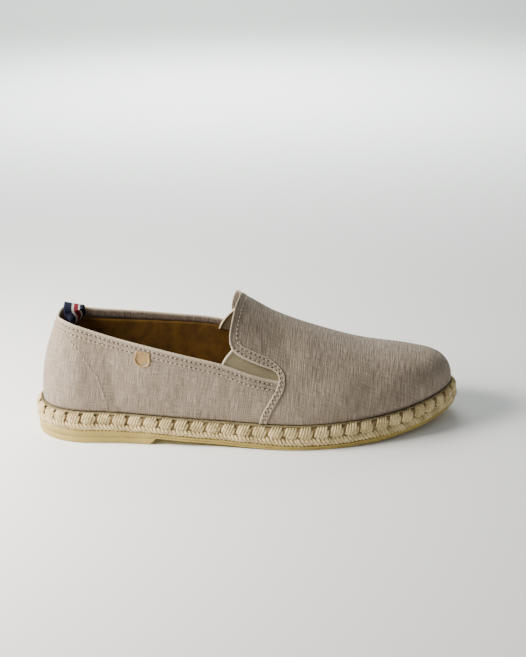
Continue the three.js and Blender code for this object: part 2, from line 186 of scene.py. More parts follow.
def side_y(s, inset, foot):
    """Half width of the plan at s, drawn in by inset."""
    side, waist_at, ball_at = foot["side"], foot["waist_at"], foot["ball_at"]
    heel_y = HEEL_OFFSET + side * (HEEL_WIDTH / 2 - inset)
    waist_y = side * (foot["waist"] - inset)
    ball_y = side * (BALL_WIDTH / 2 - inset)
    slope = 0.5 * (ball_y - heel_y) / (ball_at - HEEL_CENTRE)
    rear = np.clip((s - HEEL_CENTRE) / (waist_at - HEEL_CENTRE), 0, 1)
    front = np.clip((s - waist_at) / (ball_at - waist_at), 0, 1)
    toe = np.clip((s - ball_at) / (LENGTH - inset - ball_at), 0, 1)
    quarter_oval = (1 - toe ** foot["squareness"]) ** (1 / foot["fullness"])
    return np.select(
        [s < waist_at, s < ball_at],
        [hermite(rear, heel_y, waist_y, 0, slope, waist_at - HEEL_CENTRE),
         hermite(front, waist_y, ball_y, slope, 0, ball_at - waist_at)],
        TIP_OFFSET + (ball_y - TIP_OFFSET) * quarter_oval)


def edge_point(p, side, inset):
    """s and y of the plan's edge at p, which runs from 0 behind the heel to LENGTH at the toe's tip."""
    angle = np.clip(p / HEEL_CENTRE, 0, 1) * math.pi / 2
    turn = np.clip((p - TOE_START) / (LENGTH - TOE_START), 0, 1) * math.pi / 2
    heel_s = HEEL_CENTRE - (HEEL_CENTRE - inset) * np.cos(angle)
    heel_y = HEEL_OFFSET + side * (HEEL_WIDTH / 2 - inset) * np.sin(angle)
    s = np.where(p > TOE_START, TOE_START + (LENGTH - inset - TOE_START) * np.sin(turn), p)
    y = np.where(side < 0, side_y(s, inset, LATERAL), side_y(s, inset, MEDIAL))
    return np.where(p < HEEL_CENTRE, heel_s, s), np.where(p < HEEL_CENTRE, heel_y, y)


def plan_loop(steps, inset, height):
    """Closed loop round the plan in mm: outer side from heel to toe, then the inner side back."""
    s_out, y_out = edge_point(steps, -1, inset)
    s_in, y_in = edge_point(steps[-2:0:-1], 1, inset)
    s, y = np.r_[s_out, s_in], np.r_[y_out, y_in]
    return np.stack([s - LENGTH / 2, y, height(s)], -1)


def make_piece(name, points, faces, material, replaced=(), uv=None, shade=None):
    """A finished piece from points in mm; shade paints the folds pale, wear and painted highlight (above 0),
    and paints shade in grooves (below).
    """
    mesh = bpy.data.meshes.new(name)
    mesh.from_pydata((np.asarray(points) * MM).tolist(), [], [list(map(int, f)) for f in faces])
    mesh.polygons.foreach_set("use_smooth", np.ones(len(mesh.polygons), bool))
    if uv is not None:
        layer = mesh.uv_layers.new(name="cloth")
        corners = np.zeros(len(mesh.loops), int)
        mesh.loops.foreach_get("vertex_index", corners)
        layer.data.foreach_set("uv", np.asarray(uv, float)[corners].ravel())
    if shade is not None:
        mesh.attributes.new("shade", "FLOAT", "POINT").data.foreach_set("value", np.ravel(shade))
    mesh.materials.append(material)
    mesh.update()
    return place_piece(name, mesh, replaced)


def place_piece(name, mesh, replaced=()):
    """The object for a finished mesh, with the frame's calls that every piece gets."""
    piece = bpy.data.objects.new(name, mesh)
    bpy.context.collection.objects.link(piece)
    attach(piece, "root")
    if replaced:
        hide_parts(*replaced)
    return piece


def grid_faces(rows, columns, closed=False, start=0):
    """Quads between neighbouring rows of points; closed joins the last column to the first."""
    last = columns if closed else columns - 1
    i, j = np.meshgrid(np.arange(rows - 1), np.arange(last), indexing="ij")
    k = (j + 1) % columns
    quads = np.stack([i * columns + j, i * columns + k, (i + 1) * columns + k, (i + 1) * columns + j], -1)
    return (quads.reshape(-1, 4) + start).tolist()


def lid_faces(start, count, up):
    """Lid over one plan loop, by strips from its outer side to its inner side."""
    faces = []
    for i in range(count // 2):
        ring = list(dict.fromkeys([i, i + 1, count - i - 1, (count - i) % count]))
        ring = [start + k for k in ring]
        faces.append(ring if up else ring[::-1])
    return faces


def stacked(loops):
    """Closed solid from plan loops, bottom to top."""
    count = len(loops[0])
    faces = lid_faces(0, count, False) + grid_faces(len(loops), count, closed=True)
    return np.concatenate(loops), faces + lid_faces((len(loops) - 1) * count, count, True)


FINE_STEPS = np.r_[np.linspace(0, 40, 29)[:-1], np.linspace(40, 79.7, 20), 81, 82.5, 84,
                   np.linspace(86, 225, 68), np.linspace(225, 290, 40)[1:]]


def plan_loops(section):
    """Finely stepped plan loops, one for each inset and height of a section."""
    return [plan_loop(FINE_STEPS, inset, height) for inset, height in section]


def rubber_level(share):
    """Height between the underside and the top of the rubber."""
    return lambda s: sole_bottom(s) + (lookup(RUBBER_TOP, s, "z") - sole_bottom(s)) * share


def lift_line(offset):
    """Height of the cemented joint over the lift, blended away in front of the breast."""
    def height(s):
        middle = rubber_level(0.55)(s)
        over_lift = np.clip((HEEL_BREAST + BREAST_BEVEL - s) / 3, 0, 1)
        return middle + (JOINT_LINE - middle) * over_lift + offset * (0.2 + 0.8 * over_lift)
    return height


def add(tree, kind, inputs=None, stops=(), **settings):
    """One node with its settings, its inputs and, on a colour ramp, its stops of place and hex colour."""
    node = tree.nodes.new(kind)
    for name, value in settings.items():
        setattr(node, name, value)
    for number, (position, colour) in enumerate(stops):
        elements = node.color_ramp.elements
        stop = elements[number] if number < 2 else elements.new(position)
        stop.position = position
        stop.color = linear(colour)
    feed(tree, node, inputs or {})
    return node


def per_metre(size):
    """Scale of a pattern in object coordinates for a size in mm."""
    return 1 / (size * MM)


# Moulded natural rubber: slightly cloudy warm yellow, satin, with a fine pebble.
rubber_material, tree, shader = new_material("natural_rubber")
place = add(tree, "ShaderNodeTexCoord").outputs["Object"]
clouds = add(tree, "ShaderNodeTexNoise", {"Vector": place, "Scale": per_metre(RUBBER_CLOUDS), "Detail": 4})
tint = add(tree, "ShaderNodeValToRGB", {"Fac": clouds.outputs["Fac"]},
           stops=[(0.3, "#9d8844"), (0.72, "#b29c51")])
pebble = add(tree, "ShaderNodeTexNoise", {"Vector": place, "Scale": per_metre(RUBBER_PEBBLE), "Detail": 3})
relief = add(tree, "ShaderNodeBump", {
    "Height": pebble.outputs["Fac"], "Strength": 0.25, "Distance": 0.3 * MM})
feed(tree, shader, {
    "Base Color": tint.outputs["Color"], "Normal": relief.outputs["Normal"], "Roughness": 0.5, "IOR": 1.52,
    "Subsurface Weight": 0.12, "Subsurface Radius": (0.004, 0.003, 0.0015), "Subsurface Scale": 0.5})

# The side stands a hair inside the braid, with a shallow groove along the cemented joint.
points, faces = stacked(plan_loops([
    (0.3 + EDGE_ROUND, sole_bottom),
    (0.5, lambda s: sole_bottom(s) + 0.35 * EDGE_ROUND),
    (0.3, lambda s: sole_bottom(s) + EDGE_ROUND),
    (0.3, lift_line(-0.3)),
    (0.3 + JOINT_DEPTH, lift_line(0)),
    (0.2, lift_line(0.3)),
    (0.15, rubber_level(0.93)),
    (0.5, rubber_level(1)),
]))
make_piece("rubber_outsole", points, faces, rubber_material, ["outsole"])

# ============================================================ jute midsole
# Rope braid wound flat and stitched through. It fills the shoe inside the edge braid, so nothing of
# it shows, and the modelled solid stays.
JUTE_YARN = 5.9
JUTE_FIBRE = 0.91        # really about 0.1 mm, too fine to show

# Spun undyed jute: hairy straw-coloured fibres with darker flecks and no gloss.
jute_material, tree, shader = new_material("jute_yarn")
place = add(tree, "ShaderNodeTexCoord").outputs["Object"]
yarn = add(tree, "ShaderNodeTexNoise", {"Vector": place, "Scale": per_metre(JUTE_YARN), "Detail": 5})
fleck = add(tree, "ShaderNodeTexNoise", {"Vector": place, "Scale": per_metre(JUTE_FIBRE), "Detail": 3})
blend = add(tree, "ShaderNodeMath", {0: yarn.outputs["Fac"], 1: fleck.outputs["Fac"]}, operation="ADD")
half = add(tree, "ShaderNodeMath", {0: blend.outputs["Value"], 1: 0.5}, operation="MULTIPLY")
tint = add(tree, "ShaderNodeValToRGB", {"Fac": half.outputs["Value"]},
           stops=[(0.34, "#937e50"), (0.6, "#e0cb98")])
relief = add(tree, "ShaderNodeBump", {"Height": fleck.outputs["Fac"], "Strength": 0.5, "Distance": 0.4 * MM})
feed(tree, shader, {"Base Color": tint.outputs["Color"], "Normal": relief.outputs["Normal"],
                    "Roughness": 0.9, "Sheen Weight": 0.15})
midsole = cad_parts["jute_midsole"]
midsole.data.materials.clear()
midsole.data.materials.append(jute_material)

# ============================================================ jute braid
# A thick plait of jute rope laid round the edge on the rubber. Its upper turns are drawn into
# pillows by the stitching thread, with dark gaps between them, and its lower strands lean the
# other way. It is stitched down through the rubber.
BLOCK_PITCH = 10.5
BLOCK_WIDTH = 9.7
BLOCK_LEAN = 1.0         # the block's own sides lean by this
BRAID_HEIGHT = 11.2      # nominal; each block is stretched to the height of its place
LOWER_ROW = 4.4
STRAND = 0.95            # radius of one strand
STRAND_SPACING = 1.8
STRAND_LEAN = 3.4
UPPER_BED = 2.1          # inset of a strand's ends, and how far its middle bulges out from there
UPPER_BULGE = 1.9
PILLOW = 0.45            # how much less the strands at a block's sides bulge
LOWER_STRAND = 1.2
LOWER_SPACING = 2.625
LOWER_LEAN = -4.0
LOWER_BED = 1.9
LOWER_BULGE = 1.5
BRAID_SEED = 11
TOE_HANG = 1.5           # how far the braid hangs over the rubber round the toe
HEEL_LIP = 3.0
# Height of the line where the upper meets the sole.
FEATHER = [
    dict(s=0, z=21.8), dict(s=30, z=21.8), dict(s=78, z=20), dict(s=125, z=17.8),
    dict(s=165, z=17.1), dict(s=200, z=17.1), dict(s=245, z=19.2), dict(s=290, z=25.1),
]


def feather(s):
    """Height of the line where the upper meets the sole."""
    return lookup(FEATHER, s, "z")


def tube(path, radius, sides=6, flatten=1.0):
    """Closed tube with rounded ends round a path; radius may vary along it."""
    path = np.asarray(path, float)
    steps = len(path)
    radius = np.broadcast_to(radius, steps)
    run = np.gradient(path, axis=0)
    run /= np.linalg.norm(run, axis=1)[:, None]
    across = np.cross(run, np.array([0.0, -1.0, 0.0]))
    across /= np.linalg.norm(across, axis=1)[:, None]
    lift = np.cross(across, run)
    angle = np.arange(sides) * 2 * math.pi / sides
    ring = across[:, None] * np.cos(angle)[:, None] + lift[:, None] * np.sin(angle)[:, None] * flatten
    points = path[:, None] + ring * radius[:, None, None]
    ends = np.stack([path[0] - run[0] * radius[0] * 0.5, path[-1] + run[-1] * radius[-1] * 0.5])
    faces = [f[::-1] for f in grid_faces(steps, sides, closed=True)]
    first, last = steps * sides, steps * sides + 1
    for k in range(sides):
        after = (k + 1) % sides
        faces.append([first, k, after])
        faces.append([last, (steps - 1) * sides + after, (steps - 1) * sides + k])
    return np.concatenate([points.reshape(-1, 3), ends]), faces


def joined(parts):
    """Several meshes as one list of points and faces."""
    points, faces, start = [], [], 0
    for part_points, part_faces in parts:
        points.append(part_points)
        faces += [[k + start for k in face] for face in part_faces]
        start += len(part_points)
    return np.concatenate(points), faces


def braid_block():
    """One turn of the plait: x along the edge, y into the shoe, z up from the rubber."""
    strands = []
    top_row = BRAID_HEIGHT - LOWER_ROW
    half = BLOCK_WIDTH / 2 - STRAND * 0.7
    for centre in np.arange(-5, 6) * STRAND_SPACING:
        low = max(0.0, (-half - centre) / (STRAND_LEAN - BLOCK_LEAN) + 0.5)
        high = min(1.0, (half - centre) / (STRAND_LEAN - BLOCK_LEAN) + 0.5)
        if high - low < 0.2:
            continue
        k = np.linspace(low, high, 7)
        x = centre + STRAND_LEAN * (k - 0.5)
        bulge = UPPER_BULGE * (1 - PILLOW * np.minimum(np.abs(x / half), 1) ** 3)
        y = UPPER_BED - bulge * np.sin(math.pi * np.clip(k, 0.03, 0.97)) ** 0.6 + k**5
        z = LOWER_ROW - 0.5 + (top_row + 0.3) * k
        ends = np.sqrt(1 - (2 * np.linspace(0, 1, 7) - 1) ** 4 * 0.5)
        strands.append(tube(np.stack([x, y, z], -1), STRAND * ends, flatten=0.9))
    for centre in (np.arange(4) - 1.5) * LOWER_SPACING:
        k = np.linspace(0, 1, 7)
        x = centre + LOWER_LEAN * (k - 0.5)
        y = LOWER_BED - LOWER_BULGE * np.sin(math.pi * np.clip(k, 0.04, 0.9)) ** 0.7
        z = 0.2 + (LOWER_ROW + 0.2) * k
        ends = np.sqrt(1 - (2 * k - 1) ** 4 * 0.7)
        strands.append(tube(np.stack([x, y, z], -1), LOWER_STRAND * ends, flatten=0.9))
    return joined(strands)


def even_steps(line, pitch, closed=False):
    """Indices in fraction and spacing for even steps of about the pitch along a line."""
    ring = np.concatenate([line, line[:1]]) if closed else line
    run = np.r_[0, np.cumsum(np.linalg.norm(np.diff(ring, axis=0), axis=1))]
    count = max(1, int(round(run[-1] / pitch)))
    at = (np.arange(count) + 0.5) / count * run[-1]
    return np.interp(at, run, np.arange(len(ring))), run[-1] / count


def read_at(rows, index):
    """Rows of an array read at fractional indices."""
    rows = np.asarray(rows, float)
    low = np.clip(np.floor(index).astype(int), 0, len(rows) - 2)
    share = (index - low)[:, None]
    return rows[low] * (1 - share) + rows[low + 1] * share


def scatter(name, stamp, material, places, along, second, sizes, turn=0.0, seed=0, replaced=()):
    """Copies of one small mesh set on guide points by a node tree, each on its own two axes."""
    stamp_mesh = bpy.data.meshes.new(name + "_stamp")
    stamp_mesh.from_pydata((stamp[0] * MM).tolist(), [], [list(map(int, f)) for f in stamp[1]])
    stamp_mesh.polygons.foreach_set("use_smooth", np.ones(len(stamp_mesh.polygons), bool))
    stamp_object = bpy.data.objects.new(name + "_stamp", stamp_mesh)
    guide = bpy.data.meshes.new(name + "_guide")
    guide.from_pydata((np.asarray(places) * MM).tolist(), [], [])
    for key, rows in (("along", along), ("second", second), ("sizes", sizes)):
        guide.attributes.new(key, "FLOAT_VECTOR", "POINT").data.foreach_set(
            "vector", np.ascontiguousarray(rows, dtype=float).ravel())

    tree = bpy.data.node_groups.new(name, "GeometryNodeTree")
    for label, kind in (("Guide", "Geometry"), ("Stamp", "Object"), ("Material", "Material"),
                        ("Turn", "Vector"), ("Seed", "Int")):
        tree.interface.new_socket(label, in_out="INPUT", socket_type="NodeSocket" + kind)
    tree.interface.new_socket("Mesh", in_out="OUTPUT", socket_type="NodeSocketGeometry")
    given = add(tree, "NodeGroupInput")
    read = {key: add(tree, "GeometryNodeInputNamedAttribute", {"Name": key}, data_type="FLOAT_VECTOR")
            for key in ("along", "second", "sizes")}
    axes = add(tree, "FunctionNodeAxesToRotation", {
        "Primary Axis": read["along"].outputs["Attribute"],
        "Secondary Axis": read["second"].outputs["Attribute"]}, primary_axis="X", secondary_axis="Y")
    negative = add(tree, "ShaderNodeVectorMath", {0: given.outputs["Turn"], "Scale": -1}, operation="SCALE")
    wobble = add(tree, "FunctionNodeRandomValue", {
        "Min": negative.outputs["Vector"], "Max": given.outputs["Turn"],
        "Seed": given.outputs["Seed"]}, data_type="FLOAT_VECTOR")
    small = add(tree, "FunctionNodeEulerToRotation", {"Euler": wobble.outputs["Value"]})
    turned = add(tree, "FunctionNodeRotateRotation", {
        "Rotation": axes.outputs["Rotation"],
        "Rotate By": small.outputs["Rotation"]}, rotation_space="LOCAL")
    source = add(tree, "GeometryNodeObjectInfo", {"Object": given.outputs["Stamp"]})
    spread = add(tree, "GeometryNodeInstanceOnPoints", {
        "Points": given.outputs["Guide"], "Instance": source.outputs["Geometry"],
        "Rotation": turned.outputs["Rotation"], "Scale": read["sizes"].outputs["Attribute"]})
    real = add(tree, "GeometryNodeRealizeInstances", {"Geometry": spread.outputs["Instances"]})
    coated = add(tree, "GeometryNodeSetMaterial", {
        "Geometry": real.outputs["Geometry"], "Material": given.outputs["Material"]})
    add(tree, "NodeGroupOutput", {"Mesh": coated.outputs["Geometry"]})

    holder = bpy.data.objects.new(name + "_holder", guide)
    bpy.context.collection.objects.link(holder)
    modifier = holder.modifiers.new("spread", "NODES")
    modifier.node_group = tree
    sockets = {item.name: item.identifier for item in tree.interface.items_tree if item.in_out == "INPUT"}
    modifier[sockets["Stamp"]] = stamp_object
    modifier[sockets["Material"]] = material
    modifier[sockets["Turn"]] = (turn, turn, turn)
    modifier[sockets["Seed"]] = seed
    depsgraph = bpy.context.evaluated_depsgraph_get()
    mesh = bpy.data.meshes.new_from_object(holder.evaluated_get(depsgraph), depsgraph=depsgraph)
    mesh.name = name
    bpy.data.objects.remove(holder)
    bpy.data.objects.remove(stamp_object)
    return place_piece(name, mesh, replaced)


def heel_lip(s):
    """The edge stands up in a low peak at the very back of the heel."""
    return HEEL_LIP * np.exp(-(np.asarray(s, float) / 4.5) ** 2)


def braid_floor(s):
    """Foot of the braid: on top of the rubber, and hanging a little over it round the toe."""
    return lookup(RUBBER_TOP, s, "z") - TOE_HANG * np.clip((s - TOE_START) / 40, 0, 1)


def ringed(loops):
    """Closed ring from plan loops that go up its outside and down its inside."""
    count = len(loops[0])
    faces = grid_faces(len(loops), count, closed=True)
    last = (len(loops) - 1) * count
    around_it = np.arange(count)
    after = (around_it + 1) % count
    faces += np.stack([last + around_it, last + after, after, around_it], -1).tolist()
    return np.concatenate(loops), faces


# Jute deep in the plait, painted darker as shade: dull and brown, it makes the gaps between the turns look
# dark.
core_material, tree, shader = new_material("jute_in_shadow")
feed(tree, shader, {"Base Color": linear("#7d6a48"), "Roughness": 1})
points, faces = ringed(plan_loops([
    (1.6, lambda s: braid_floor(s) + 0.3),
    (1.2, lambda s: braid_floor(s) + 4),
    (1.3, lambda s: feather(s) - 3.4),
    (2.6, lambda s: feather(s) - 2.2),
    (8, lambda s: feather(s) - 2.2),
    (8, lambda s: braid_floor(s) + 0.3),
]))
make_piece("braid_core", points, faces, core_material, ["jute_braid"])

ROUND_STEPS = np.linspace(0, LENGTH, 600)
base_line = plan_loop(ROUND_STEPS, 0, braid_floor)
index, pitch = even_steps(base_line, BLOCK_PITCH, closed=True)
closed_line = np.concatenate([base_line, base_line[:1]])
heading = np.gradient(closed_line, axis=0)
heading[0] = heading[-1] = closed_line[1] - closed_line[-2]
along = read_at(heading, index)
along /= np.linalg.norm(along, axis=1)[:, None]
inward = np.cross([0, 0, 1], along)
inward /= np.linalg.norm(inward, axis=1)[:, None]
places = read_at(closed_line, index)
stations = places[:, 0] + LENGTH / 2
top_gap = np.interp(stations, [60, 130], [0.7, 1.4])
height = feather(stations) - top_gap - braid_floor(stations) + 0.6 * heel_lip(stations)
chance = np.random.default_rng(BRAID_SEED)
sizes = np.stack([pitch / BLOCK_PITCH * chance.uniform(0.97, 1.03, len(places)),
                  chance.uniform(0.88, 1.08, len(places)), height / BRAID_HEIGHT], -1)
scatter("jute_braid_strands", braid_block(), jute_material, places, along, inward, sizes,
        turn=0.05, seed=BRAID_SEED, replaced=["jute_braid"])

# ============================================================ rand
# The turned-in edge strip between the upper and the braid, of tight jute cord cloth. It leans out
# over the braid's top and is caught by the same stitching.
RAND_FLECK = 2.38
# Inset, height over the feather line, and how much of the heel's lip it takes part in.
RAND_SECTION = [(3.0, -2.1, 0), (2.5, -1.5, 0), (2.5, -1.0, 0.8), (2.9, -0.6, 1), (3.5, -0.5, 0.9),
                (4.0, -0.6, 0.5), (8, -0.5, 0), (8, -2.1, 0)]

# Tight jute cord cloth, olive, and darker than the braid with painted shade where it lies under the upper's
# edge: flecked, quite dull.
rand_material, tree, shader = new_material("jute_cord_strip")
place = add(tree, "ShaderNodeTexCoord").outputs["Object"]
fleck = add(tree, "ShaderNodeTexNoise", {"Vector": place, "Scale": per_metre(RAND_FLECK), "Detail": 4})
tint = add(tree, "ShaderNodeValToRGB", {"Fac": fleck.outputs["Fac"]},
           stops=[(0.35, "#5f5338"), (0.68, "#857750")])
relief = add(tree, "ShaderNodeBump", {"Height": fleck.outputs["Fac"], "Strength": 0.6, "Distance": 0.5 * MM})
feed(tree, shader, {"Base Color": tint.outputs["Color"], "Normal": relief.outputs["Normal"],
                    "Roughness": 0.95})
points, faces = ringed([
    plan_loop(FINE_STEPS, inset, lambda s: feather(s) + lift + lip * heel_lip(s))
    for inset, lift, lip in RAND_SECTION])
make_piece("rand_strip", points, faces, rand_material, ["rand"])

# ============================================================ insole
# A cork-backed footbed faced with suede, glued in; it dips a little where the foot presses.
SUEDE_CLOUDS = 7.7
SUEDE_NAP = 1.11         # really about 0.2 mm, too fine to show
# Inset and height over the feather line.
FOOTBED_SECTION = [(6.7, 0.1), (6.5, 2.6), (7.2, 3.4), (10, 3.3), (15, 2.7), (24, 2.3)]

# Napped brown suede: no gloss, and brushed lighter and darker in soft patches.
suede_material, tree, shader = new_material("brown_suede")
place = add(tree, "ShaderNodeTexCoord").outputs["Object"]
clouds = add(tree, "ShaderNodeTexNoise", {"Vector": place, "Scale": per_metre(SUEDE_CLOUDS), "Detail": 5})
tint = add(tree, "ShaderNodeValToRGB", {"Fac": clouds.outputs["Fac"]},
           stops=[(0.3, "#523812"), (0.75, "#745219")])
nap = add(tree, "ShaderNodeTexNoise", {"Vector": place, "Scale": per_metre(SUEDE_NAP), "Detail": 2})
relief = add(tree, "ShaderNodeBump", {"Height": nap.outputs["Fac"], "Strength": 0.4, "Distance": 0.3 * MM})
feed(tree, shader, {"Base Color": tint.outputs["Color"], "Normal": relief.outputs["Normal"],
                    "Roughness": 0.9, "Specular IOR Level": 0.3})
points, faces = stacked([
    plan_loop(FINE_STEPS, inset, lambda s: feather(s) + lift) for inset, lift in FOOTBED_SECTION])
make_piece("footbed", points, faces, suede_material, ["insole"])

# ============================================================ lining
# Thin suede all round the inside. It stops below the collar, where the cloth facing takes over.
SECTIONS = [
    dict(s=40, ridge=115, ridge_y=-7, swell=4.2, side=0.62, crown=0.5),
    dict(s=75, ridge=122.5, ridge_y=-1.5, swell=7, side=0.58, crown=0.68),
    dict(s=110, ridge=118.7, ridge_y=0, swell=7.8, side=0.57, crown=0.7),
    dict(s=140, ridge=92.6, ridge_y=0.5, swell=6.5, side=0.55, crown=0.62),
    dict(s=150, ridge=85.7, ridge_y=0.7, swell=5.1, side=0.54, crown=0.575),
    dict(s=165, ridge=76.7, ridge_y=1, swell=3, side=0.52, crown=0.5),
    dict(s=195, ridge=63.8, ridge_y=2, swell=2, side=0.56, crown=0.52),
    dict(s=225, ridge=53.7, ridge_y=4, swell=1.5, side=0.6, crown=0.55),
    dict(s=255, ridge=48, ridge_y=8, swell=1.5, side=0.62, crown=0.58),
    dict(s=275, ridge=44.2, ridge_y=9.5, swell=1, side=0.62, crown=0.6),
]
HEEL_BACK = dict(swell=1, side=0.52, crown=0)
FEATHER_INSET = 4.3
TOE_ROUND = 268
TIP_HEIGHT = 2
SWELL_FADE = 255
COLLAR_LATERAL = [
    dict(s=-12, z=83.2), dict(s=14, z=83), dict(s=19.6, z=82.6), dict(s=24.8, z=82.8), dict(s=36, z=80.2),
    dict(s=43.3, z=77.9), dict(s=50, z=75.9), dict(s=63, z=72.5), dict(s=89, z=66.8), dict(s=115, z=60.7),
    dict(s=129.3, z=56.9), dict(s=147, z=50.4), dict(s=160, z=46.5), dict(s=165.2, z=45.4),
    dict(s=180, z=41),
]
COLLAR_MEDIAL = [
    dict(s=-12, z=83.2), dict(s=14, z=83), dict(s=19.6, z=82.4), dict(s=26, z=79.2), dict(s=32, z=76.9),
    dict(s=40.7, z=75.1), dict(s=60, z=72.3), dict(s=80, z=69.4), dict(s=101, z=66.4), dict(s=115, z=64.7),
    dict(s=127, z=62.3), dict(s=137, z=58.4), dict(s=147, z=53.4), dict(s=160, z=47.5),
    dict(s=165.2, z=45.7), dict(s=180, z=41.3),
]
# The vamp's rear edge and, next to each point, the front edge of the strip along it: s and z.
VAMP_RIM = [
    (152.5, 17.6, 157.6, 17.6), (155.4, 25.6, 160.7, 25.4), (160.2, 33.8, 165.3, 33.2),
    (164.2, 40.5, 169.1, 40.0), (165.9, 45.0, 170.0, 45.6), (165.4, 48.8, 168.9, 50.2),
    (162.4, 51.4, 165.0, 54.6), (155.0, 54.5, 157.6, 59.6), (147.4, 57.9, 150.4, 63.4),
    (141.6, 60.9, 145.6, 65.8), (137.2, 64.2, 143.0, 67.2), (134.9, 68.0, 141.4, 69.6),
    (134.3, 73.5, 140.6, 74.0), (135.8, 81.0, 141.8, 80.6), (137.5, 86.8, 143.2, 84.6),
    (139.2, 90.2, 145.0, 87.2), (141.4, 91.9, 147.4, 87.6),
]
RIM_STEPS = 96
THROAT_DROOP = 0.6
FACING_DEPTH = 7         # at the heel; towards the front the facing narrows
FACING_NARROW = 0.66
LINING_FACES = (0.95, 1.75)     # insets of the hidden face and the seen face
VAMP_LINING_FACES = (0.95, 1.7)
LEVELS = np.linspace(0, 1, 401)


def bezier(t, a, b, c, d):
    """Cubic through a and d, drawn towards b and c."""
    r = 1 - t
    return r**3 * a + 3 * r**2 * t * b + 3 * r * t**2 * c + t**3 * d


def form_point(p, t, side, inset):
    """Point of the last's form in mm; t runs from the feather line, 0, to the ridge, 1."""
    p, t, side, inset = np.broadcast_arrays(
        *(np.asarray(value, float) for value in (p, t, side, inset)))
    edge_s, edge_y = edge_point(p, side, FEATHER_INSET + inset)
    heel = p < HEEL_CENTRE
    backness = np.where(heel, np.cos(np.clip(p / HEEL_CENTRE, 0, 1) * math.pi / 2) ** 2, 0)
    at = np.where(heel, HEEL_CENTRE, edge_s)
    tip = LENGTH - FEATHER_INSET - inset
    fade = np.sqrt(1 - np.clip((edge_s - SWELL_FADE) / (tip - SWELL_FADE), 0, 1) ** 2)
    swell, full, crown = (lookup(SECTIONS, at, name) * (1 - backness) + HEEL_BACK[name] * backness
                          for name in ("swell", "side", "crown"))
    q = np.clip((at - TOE_ROUND) / (tip - TOE_ROUND), 0, 1)
    low = feather(tip) + TIP_HEIGHT
    ridge_z = low + (lookup(SECTIONS, at, "ridge") - inset - low) * np.sqrt(1 - q**2.4)
    ridge_y = lookup(SECTIONS, at, "ridge_y") * (1 - q) + TIP_OFFSET * q
    width = np.hypot(at - edge_s, ridge_y - edge_y)
    height = ridge_z - feather(edge_s)
    inward = bezier(t, 0, -swell * fade, width * (1 - crown), width)
    share = inward / np.maximum(width, 1e-6)
    return np.stack([edge_s + (at - edge_s) * share - LENGTH / 2, edge_y + (ridge_y - edge_y) * share,
                     feather(edge_s) + bezier(t, 0, full * height, height, height)], -1)


def around(q, t, inset=0.0):
    """The form read round the heel: q below 0 is the outer side of the foot, above 0 the inner."""
    q = np.asarray(q, float)
    return form_point(np.abs(q), t, np.where(q < 0, -1, 1), inset)


def over(p, r, inset=0.0):
    """The form read over the ridge: r runs from 0, the outer feather, by 1 to 2, the inner feather."""
    r = np.asarray(r, float)
    return form_point(p, 1 - np.abs(1 - r), np.where(r < 1, -1, 1), inset)


def collar_level(q, inset=0.0):
    """The t at which the collar's edge crosses the form at q."""
    points = around(np.asarray(q)[:, None], LEVELS[None, :], inset)
    s = points[..., 0] + LENGTH / 2
    outer_side = np.asarray(q)[:, None] < 0
    edge = np.where(outer_side, lookup(COLLAR_LATERAL, s, "z"), lookup(COLLAR_MEDIAL, s, "z"))
    above_edge = points[..., 2] - edge
    first = np.argmax(above_edge > 0, axis=1)
    rows = np.arange(len(first))
    low, high = above_edge[rows, first - 1], above_edge[rows, first]
    return LEVELS[first - 1] + (LEVELS[1] - LEVELS[0]) * low / (low - high)


def below_collar(q, depth, inset=0.0):
    """The t a given depth in mm below the collar's edge, measured square to the edge."""
    top = collar_level(q, inset)
    edge = around(q, top, inset)
    run = np.gradient(edge, axis=0)
    run /= np.linalg.norm(run, axis=1)[:, None]
    rise = (edge - around(q, top - 0.02, inset)) / 0.02
    square = rise - run * (rise * run).sum(1)[:, None]
    return top - depth / np.linalg.norm(square, axis=1)


def facing_share(q):
    """How much of its depth at the heel the facing has at q."""
    return np.interp(np.abs(q), [40, 105], [1, FACING_NARROW])


def level_at(s, z, side, inset=0.0):
    """The t at which the form reaches height z over station s."""
    heights = form_point(np.asarray(s)[:, None], LEVELS[None, :], side, inset)[..., 2]
    return np.array([np.interp(height, row, LEVELS) for height, row in zip(z, heights)])


def smooth_curve(points, count):
    """Even steps along a smooth curve through a few rows; the first two columns set its length."""
    points = np.asarray(points, float)
    knots = np.r_[0, np.cumsum(np.hypot(*np.diff(points[:, :2], axis=0).T))]
    fine = np.linspace(0, knots[-1], 20 * len(points))
    columns = [[dict(s=k, v=v) for k, v in zip(knots, column)] for column in points.T]
    line = np.stack([lookup(column, fine, "v") for column in columns], -1)
    run = np.r_[0, np.cumsum(np.hypot(*np.diff(line[:, :2], axis=0).T))]
    even = np.linspace(0, run[-1], count)
    return np.stack([np.interp(even, run, column) for column in line.T], -1)


def shell(outer, inner):
    """Closed thin solid between two grids of points of the same shape."""
    rows, columns = outer.shape[:2]
    size = rows * columns
    faces = grid_faces(rows, columns) + [f[::-1] for f in grid_faces(rows, columns, start=size)]
    index = np.arange(size).reshape(rows, columns)
    rim = np.r_[index[0, :-1], index[:-1, -1], index[-1, :0:-1], index[:0:-1, 0]]
    after = np.roll(rim, -1)
    faces += np.stack([after, rim, rim + size, after + size], -1).tolist()
    return np.concatenate([outer.reshape(-1, 3), inner.reshape(-1, 3)]), faces


def facing_outward(points, faces):
    """The faces turned so that the closed solid's volume is positive."""
    points = np.asarray(points)
    volume = 0.0
    for face in faces:
        corner = points[face]
        for k in range(1, len(face) - 1):
            volume += corner[0] @ np.cross(corner[k], corner[k + 1])
    return points, faces if volume > 0 else [f[::-1] for f in faces]


def mirrored(rows, ridge=None):
    """Rows over one side of the foot and on over the ridge down the other."""
    return np.r_[rows, rows[-2::-1] if ridge is None else 2 * ridge - rows[-2::-1]]


